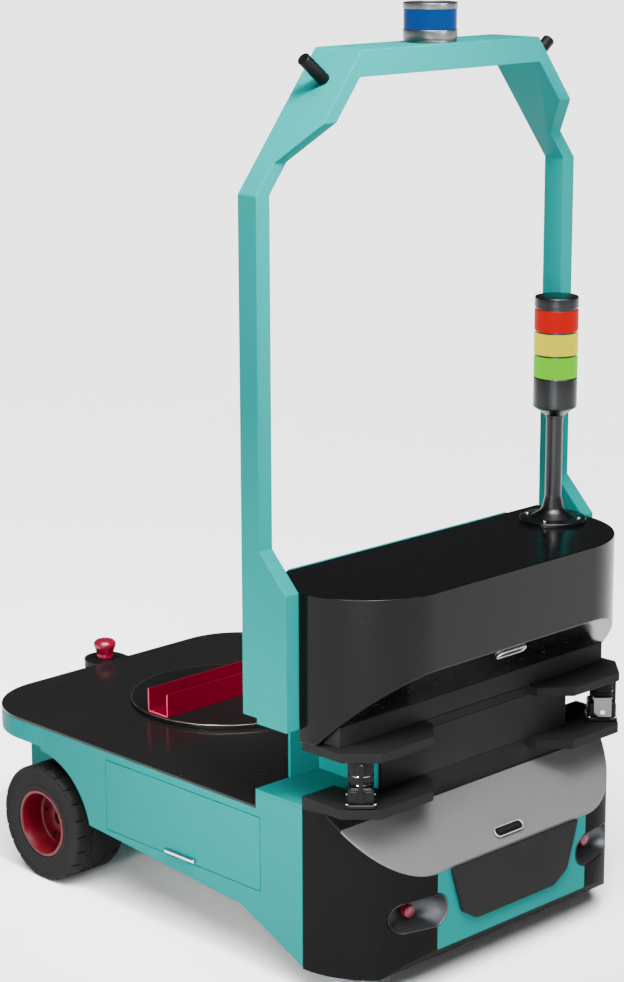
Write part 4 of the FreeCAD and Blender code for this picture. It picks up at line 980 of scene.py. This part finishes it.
low, high, lampRadius, _ = upright("lamp_housing")
grooveDeep, grooveAt = stack["groove"]
paths = []
for start, end in ((low.z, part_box("lamp_green")[0].z), (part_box("lamp_red")[1].z + stack["collar"], high.z)):
    groove = grooveRound(lampRadius, grooveDeep, [start + height for height in grooveAt])
    paths.append(softPath([(0, start), (lampRadius, start, 0.001), *groove, (lampRadius, end, 0.0025),
                           (0, end)], steps=3))
for lower, upper in (("lamp_green", "lamp_amber"), ("lamp_amber", "lamp_red"), ("lamp_red", None)):
    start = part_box(lower)[1].z
    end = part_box(upper)[0].z if upper else start + stack["collar"]
    inner = lampRadius - stack["collarIn"]
    path = [(0, start), (inner, start), (inner, end), (0, end)]
    # the last point repeats, so that each ring has the same number of rows
    paths.append(np.concatenate([path, np.repeat([path[-1]], len(paths[0]) - len(path), axis=0)]))
dressNode("lamp_housing_rings", "lamp_housing",
          np.stack([turned(path, stackAxis, steps=stack["steps"]) for path in paths]))

low, high, flange, _ = upright("lamp_post")
pole, sleeve = stack["pole"], stack["sleeve"]
sleeveFrom, sleeveTo = high.z - stack["sleeveFrom"], high.z - stack["sleeveTo"]
bell = [(radius, low.z + height, rounding) for radius, height, rounding in stack["bell"]]
cup = lampRadius - stack["cupIn"]
slopeIn, slopeDown, slopeSoft = stack["cupSlope"]
path = softPath([(0, low.z), (flange, low.z), (flange, low.z + stack["flangeTall"], 0.002), *bell,
                 (pole, sleeveFrom - stack["sleeveSlope"]), (sleeve, sleeveFrom, 0.0008),
                 (sleeve, sleeveTo, 0.0008), (cup - slopeIn, high.z - slopeDown, slopeSoft), (cup, high.z),
                 (0, high.z)], steps=6)
dressNode("lamp_post_pole", "lamp_post", turned(path, stackAxis, steps=stack["steps"]))
headPath = screwHead(*stack["screw"])
places = aroundCircle(evenly(stack["flangeScrews"], stack["screwTurn"]), stack["screwAway"],
                      stackAxis + (0, 0, low.z + stack["flangeTall"] + stack["screwUp"]))
addTrim("lamp_post_screws", "lamp_post", "chrome", spread(turned(headPath, (0, 0, 0), steps=20), places))
print("lamp stack made")


# rods on the gantry's shoulders
rods = {
    "slope": (0.245, 0.192),  # square to the shoulder: outward and up
    "edge": 0.002,
    "rim": 0.0028,
    "rimSlope": 0.0004,
    "sunk": 0.0008,
}
low, high, rodRadius, _ = upright("gantry_rods")
shoulder = Vector((0, *rods["slope"])).normalized()
bars = []
for side in (-1, 1):
    outward = np.array((0, side * shoulder.y, shoulder.z))
    reach = (high.z - low.z - 2 * rodRadius * abs(outward[1])) / outward[2]
    tip = np.array(((low.x + high.x) / 2, side * (high.y - rodRadius * outward[2]),
                    high.z - rodRadius * abs(outward[1])))
    rim = rodRadius - rods["rim"]
    path = softPath([(0, -reach), (rodRadius, -reach), (rodRadius, 0, rods["edge"]), (rim, 0),
                     (rim - rods["rimSlope"], -rods["sunk"]), (0, -rods["sunk"])], steps=4)
    bars.append(turned(path, tip, outward, 48))
dressNode("gantry_rods_bars", "gantry_rods", np.stack(bars))

# hitch pin and its knob
pin = {
    "radius": 0.011,
    "tip": (0.009, 0.004),  # radius of the end, and height of its taper
    "collar": 0.013,
    "collarBelow": 0.0212,  # the deck tab's top
    "play": 0.0004,
    # radius, height over the tab, rounding
    "foot": [(0.0195, 0.0004, 0.002), (0.0185, 0.01, 0.004)],
    "neckIn": 0.0035,
    "neckUp": (0.019, 0.027),
    "round": 0.006,
}
low, high, knob, pinAxis = upright("hitch_pin")
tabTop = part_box("hitch_tab")[1].z
tipRadius, tipTall = pin["tip"]
collarAt = tabTop - pin["collarBelow"]
foot = [(radius, tabTop + height, rounding) for radius, height, rounding in pin["foot"]]
neckFrom, neckTo = (tabTop + height for height in pin["neckUp"])
path = softPath([(0, low.z), (tipRadius, low.z, 0.0005), (pin["radius"], low.z + tipTall, 0.001),
                 (pin["radius"], collarAt), (pin["collar"], collarAt),
                 (pin["collar"], tabTop + pin["play"]), *foot, (knob - pin["neckIn"], neckFrom, 0.005),
                 (knob, neckTo, 0.008), (knob, high.z - pin["round"], 0.006),
                 (knob - pin["round"], high.z, 0.005), (0, high.z)], steps=7)
dressNode("hitch_pin_knob", "hitch_pin", turned(path, pinAxis, steps=72), sharp=45)

# heads of the two stop buttons
button = {
    "stem": 0.62,  # share of the radius
    "stemLong": 0.36,  # shares of the length
    "headFrom": 0.42,
    "rimFlat": 0.0032,
    "rimSlope": 0.0015,
    "rimRound": 0.002,
    "dome": 0.0016,  # how far its middle part is sunk
    "domeAt": (0.3, 0.5, 0.4),  # share of the radius, then of the sinking there and in the middle
}
low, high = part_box("stop_buttons")
radius = (high.z - low.z) / 2
proud = high.x - low.x
stem, flat, rimRound = radius * button["stem"], radius - button["rimFlat"], button["rimRound"]
dome = button["dome"]
domeOut, domeThere, domeMiddle = button["domeAt"]
path = softPath([(0, 0), (stem, 0), (stem, proud * button["stemLong"], 0.001),
                 (radius, proud * button["headFrom"], 0.0015), (radius, proud - rimRound, rimRound),
                 (flat, proud, 0.0012), (flat - button["rimSlope"], proud - dome, 0.001),
                 (radius * domeOut, proud - dome * domeThere, 0.01), (0, proud - dome * domeMiddle)], steps=5)
buttonAt = np.array((low.x, high.y - radius, (low.z + high.z) / 2))
heads = [turned(path, buttonAt * (1, side, 1), (1, 0, 0), 56) for side in (-1, 1)]
dressNode("stop_buttons_heads", "stop_buttons", np.stack(heads), sharp=50)
print("rods, pin and buttons made")


# smooth bowls round the stop buttons
bowl = {
    "halfWide": 0.069,
    "halfTall": 0.033,
    "deep": 0.06,
    "shrink": 0.016,
    "mouthAhead": 0.002,  # of the nose's foremost plane
    "behindButton": 0.0002,
    "noseRound": 0.177,  # radius of the nose's corner in plan
    "narrowing": 0.2,
    "passes": 12,
    "rows": 26,
    "sheet": 0.0006,
}
noseFront, noseHalf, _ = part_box("nose_shell")[1]
seatX = low.x - bowl["behindButton"]
mouthX = noseFront + bowl["mouthAhead"]
oval = stadium((0, 0, 0), (0, 1, 0), (0, 0, 1), bowl["halfWide"], bowl["halfTall"], steps=36)
away = oval / np.linalg.norm(oval, axis=1)[:, None]
bowls = []
for side in (-1, 1):
    centre = buttonAt * (0, side, 1)
    # where the tapering oval meets the rounded nose: repeated until the depth there settles
    depth = np.zeros(len(oval))
    for _ in range(bowl["passes"]):
        edge = oval - away * bowl["shrink"] * (depth / bowl["deep"])[:, None]
        beyond = np.clip(np.abs(centre[1] + edge[:, 1]) - (noseHalf - bowl["noseRound"]), 0, None)
        surfaceX = noseFront - bowl["noseRound"] + np.sqrt(bowl["noseRound"] ** 2 - beyond ** 2)
        depth = mouthX - surfaceX
    # rows go down from the mouth: width (1 - narrowing * d) * sqrt(1 - d^3) at the share d of the depth
    share = np.sin(np.linspace(0, math.pi / 2, bowl["rows"]))[:, None, None]
    scale = (1 - bowl["narrowing"] * share) * np.sqrt(np.clip(1 - share ** 3, 0, 1))
    grid = centre + edge[None] * scale
    grid[..., 0] = surfaceX[None] + (seatX - surfaceX)[None] * share[..., 0]
    bowls.append(grid)
scoops = dressNode("button_scoops_bowls", "button_scoops", np.stack(bowls), sharp=60)
wall = scoops.modifiers.new("sheet", "SOLIDIFY")
wall.thickness = bowl["sheet"]
wall.offset = -1
print("bowls made")


# pull handles: a bent ring, the slot inside it and the bar across; both stand on faces at 45 degrees
pull = {
    "rings": [
        # node, direction out of its face, radius of the ring's wire
        ("head_handle", (1, 0, -1), 0.0019),
        ("hatch_handle", (1, 0, 1), 0.0022),
    ],
    "tallest": 0.0105,
    "ringUp": 0.0008,
    "slot": (-0.0015, 0.0002, 0.0003),  # from, to, edge
    "bar": (0.0, 0.0012, 0.0004),
    "barShift": 0.001,
    "barLong": 0.78,  # shares of the ring's size
    "barTall": 0.3,
}
ringMetal = makeMetal("ringMetal", (0.75, 0.755, 0.76, 1), 0.42, lines=0.05)


def pullOval(place, upward, halfLength, halfTall, pulledIn):
    # the ring's oval in the face of its handle, pulled in all round
    return stadium(place, (0, 1, 0), upward, halfLength - pulledIn, halfTall - pulledIn, steps=18)


for label, outward, wire in pull["rings"]:
    low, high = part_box(label)
    outward = np.asarray(outward, dtype=float) / math.sqrt(2)
    upward = np.cross(outward, (0, 1, 0))
    upward *= np.sign(upward[2])
    middle = np.array(((low.x + high.x) / 2, 0, (low.z + high.z) / 2))
    halfLength = (high.y - low.y) / 2 - wire
    halfTall = min((high.z - low.z) * math.sqrt(2) / 2 - wire, pull["tallest"])
    # ring: a round wire bent along the oval
    rows = [pullOval(middle + outward * (pull["ringUp"] + wire * math.sin(a)), upward, halfLength, halfTall,
                     wire * (1 - math.cos(a)) * 0.5) for a in evenly(10)]
    dressNode(label + "_ring", label, np.stack(rows), ringMetal, loopRows=True)
    slot = pullOval(middle, upward, halfLength, halfTall, wire * 0.5)
    addTrim(label + "_slot", label, "black_steel", slab(slot, outward, *pull["slot"]))
    bar = stadium(middle + upward * pull["barShift"], (0, 1, 0), upward, halfLength * pull["barLong"],
                  halfTall * pull["barTall"])
    addTrim(label + "_bar", label, "dark_paint", slab(bar, outward, *pull["bar"]))
print("handles made")


# safety scanners, each in its own frame: out along the diagonal, across, up
low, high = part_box("scanners")
scanner = {
    "tall": high.z - low.z,
    "rest": 0.009,  # thickness of the foot
    "neck": (0.0185, 0.0398, 0.0462),  # radius, from, to
    "turret": (0.0238, 0.0472),  # radius, from
    "groove": (0.0016, (0.0585, 0.0592, 0.0618, 0.0625)),  # depth, and four heights
    "cap": (0.0212, 0.003, 0.0022),  # radius, and how far below the top its edge and its foot lie
    "wire": 0.001,
    "wireSteps": (30, 10),  # along it and round it
    "wires": [(0.044, 0.0235, 0.85), (0.0605, 0.0236, 0.8)],  # height, distance from the axis, half the sweep
    "screwsOut": (-0.0255, 0.026),
    "screwsAcross": (-0.0252, 0.0252),
    "screw": (0.0026, 0.0, 0.0022, 0.0016, 0.0008, 0.0006),  # as screwHead takes them
}
scanner["bases"] = [  # low corner, high corner, rounding
    ((-0.0305, -0.0275, 0), (0.0305, 0.0275, scanner["rest"]), 0.005),
    ((-0.028, -0.0235, scanner["rest"]), (0.0275, 0.0235, 0.04), 0.006),
]
scanner["windows"] = [
    ((0.019, -0.0046, 0.011), (0.0288, 0.0046, scanner["tall"] - 0.004), 0.0015),
    ((0.018, -0.02, 0.0135), (0.0283, -0.0075, 0.034), 0.0015),
    ((0.018, 0.0075, 0.0135), (0.0283, 0.02, 0.034), 0.0015),
]
scannerX = (low.x + high.x) / 2
scannerY = high.y - (high.x - low.x) / 2


def atCorner(grid, side):
    # from the scanner's own frame to the corner it stands in, turned by 45 degrees
    grid = np.asarray(grid, dtype=float)
    share = math.sqrt(0.5)
    out, across, rise = np.moveaxis(grid, -1, 0)
    return np.stack([scannerX + share * (out + across), side * (scannerY + share * (out - across)),
                     low.z + rise], axis=-1)


def bentWire(height, away, half):
    # a wire bent round the turret, thinning to nothing at both ends: wire * sqrt(1 - (angle / half)^6)
    steps, around = scanner["wireSteps"]
    swing = np.linspace(-half, half, steps)
    thick = scanner["wire"] * np.sqrt(np.clip(1 - (swing / half) ** 6, 0, 1))
    section = evenly(around)[:, None]
    radii = away + thick * np.cos(section)
    rise = height + thick * np.sin(section)
    return np.stack([radii * np.cos(swing), radii * np.sin(swing), rise], axis=-1)


top = scanner["tall"]
neck, neckFrom, neckTo = scanner["neck"]
turret, turretFrom = scanner["turret"]
cap, capEdge, capFoot = scanner["cap"]
turretPath = softPath([(0, neckFrom), (neck, neckFrom), (neck, neckTo, 0.0008), (turret, turretFrom, 0.0015),
                       *grooveRound(turret, *scanner["groove"]), (turret, top - capEdge, 0.0012),
                       (cap, top - capFoot), (cap, top), (0, top)], steps=4)
headPath = screwHead(*scanner["screw"])
corners = [(out, across, scanner["rest"]) for out in scanner["screwsOut"]
           for across in scanner["screwsAcross"]]
forms = {
    "bases": [roundedBox(*box) for box in scanner["bases"]],
    "turrets": [turned(turretPath, (0, 0, 0))],
    "windows": [roundedBox(*box) for box in scanner["windows"]],
    "wires": [bentWire(*wire) for wire in scanner["wires"]],
    "screws": list(spread(turned(headPath, (0, 0, 0), steps=16), corners)),
}
pairs = {label: np.stack([atCorner(grid, side) for side in (-1, 1) for grid in grids])
         for label, grids in forms.items()}
dressNode("scanners_bases", "scanners", pairs["bases"])
addTrim("scanners_turrets", "scanners", "dark_paint", pairs["turrets"])
addTrim("scanners_windows", "scanners", "black_gloss", pairs["windows"])
addTrim("scanners_wires", "scanners", "chrome", pairs["wires"], loopRows=True, loopColumns=False)
addTrim("scanners_screws", "scanners", "chrome", pairs["screws"])

# the connector block on the left scanner: a plate with one cut corner, and its square key
coupler = {
    "offset": 0.012,  # along X, Y and Z
    "wide": 0.035,
    "tall": 0.04,
    "deep": 0.03,
    "cut": 0.009,
    "keyHalf": 0.0045,
    "keyUp": (0.006, 0.014),
    "keySunk": 0.0005,
    "keyProud": 0.0008,
    "keyEdge": 0.0003,
}
place = np.array((scannerX, scannerY, low.z)) + coupler["offset"] * np.array((1, -1, 1))
halfWide, halfDeep, tall, cut = coupler["wide"] / 2, coupler["deep"] / 2, coupler["tall"], coupler["cut"]
facing = np.array((1, -1, 0)) * math.sqrt(0.5)
run = np.array((1, 1, 0)) * math.sqrt(0.5)
outline = softPath([(cut - halfWide, 0, 0.001), (halfWide, 0, 0.0015), (halfWide, tall, 0.0015),
                    (-halfWide, tall, 0.0015), (-halfWide, cut, 0.001)], steps=4, closed=True)
addTrim("scanner_coupler", "scanners", "silver",
        slab(inPlane(outline, place, run), facing, -halfDeep, halfDeep))
keyHalf, (keyLow, keyHigh) = coupler["keyHalf"], coupler["keyUp"]
key = softPath(rectangle((-keyHalf, keyLow), (keyHalf, keyHigh), 0.001), steps=4, closed=True)
addTrim("scanner_coupler_key", "scanners", "chrome",
        slab(inPlane(key, place, run), facing, halfDeep - coupler["keySunk"],
             halfDeep + coupler["keyProud"], coupler["keyEdge"]))
print("scanners made")


# turntable: screw heads round its top, apart from where the channel stands, and a pale metal ring on its top
# edge as a painted highlight
turntable = {
    "screws": 12,
    "screwTurn": 0.26,
    "screwIn": 0.012,  # from the edge
    "clear": 0.006,  # of the channel
    "screw": (0.0034, -0.0005, 0.0009, 0.0017, 0.0002, 0.0005),  # as screwHead takes them
    "wire": 0.0008,
    "wireIn": 0.0009,
}
low, high, radius, hub = upright("turntable")
channelLow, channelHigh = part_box("channel")
headPath = screwHead(*turntable["screw"])
places = aroundCircle(evenly(turntable["screws"], turntable["screwTurn"]), radius - turntable["screwIn"],
                      hub + (0, 0, high.z))
beside = ((places[:, 0] <= channelLow.x - turntable["clear"])
          | (places[:, 0] >= channelHigh.x + turntable["clear"]))
addTrim("turntable_screws", "turntable", "black_steel",
        spread(turned(headPath, (0, 0, 0), steps=18), places[beside]))
# a thin pale metal ring along the top edge stands in for the edge's highlight: painted highlight
edgeHighlightMetal = makeMetal("edgeHighlightMetal", (0.3, 0.26, 0.21, 1), 0.35)
wire = turntable["wire"]
wirePath = np.stack([radius - turntable["wireIn"] + wire * np.cos(evenly(8)),
                     high.z - wire + wire * np.sin(evenly(8))], axis=1)
addTrim("turntable_edge_highlight", "turntable", "black_steel", turned(wirePath, hub, steps=160), edgeHighlightMetal,
        loopRows=True)

# the channel's cut ends, faced with paler red strips as a painted highlight
channel = {
    "opening": 0.054,
    "proud": 0.0004,
    "sunk": 0.001,
    "margin": 0.0003,
    "edge": 0.0004,
}
# a pale red that stands for light on the cut ends: painted highlight
endHighlightPaint = makePaint("endHighlightPaint", (0.36, 0.03, 0.06, 1), 0.3, sheen=0.12)
sheet = (channelHigh.x - channelLow.x - channel["opening"]) / 2
margin = channel["margin"]
ends = []
for face, out in ((channelLow.y, -1), (channelHigh.y, 1)):
    near, far = sorted((face + out * channel["proud"], face - out * channel["sunk"]))
    # the channel's two walls and its floor
    for left, right, top in ((channelLow.x, channelLow.x + sheet, channelHigh.z),
                             (channelHigh.x - sheet, channelHigh.x, channelHigh.z),
                             (channelLow.x, channelHigh.x, channelLow.z + sheet)):
        ends.append(roundedBox((left + margin, near, channelLow.z + margin),
                               (right - margin, far, top - margin), channel["edge"]))
addTrim("channel_end_highlights", "turntable", "red_paint", np.stack(ends), endHighlightPaint)
print("turntable and channel trimmed")
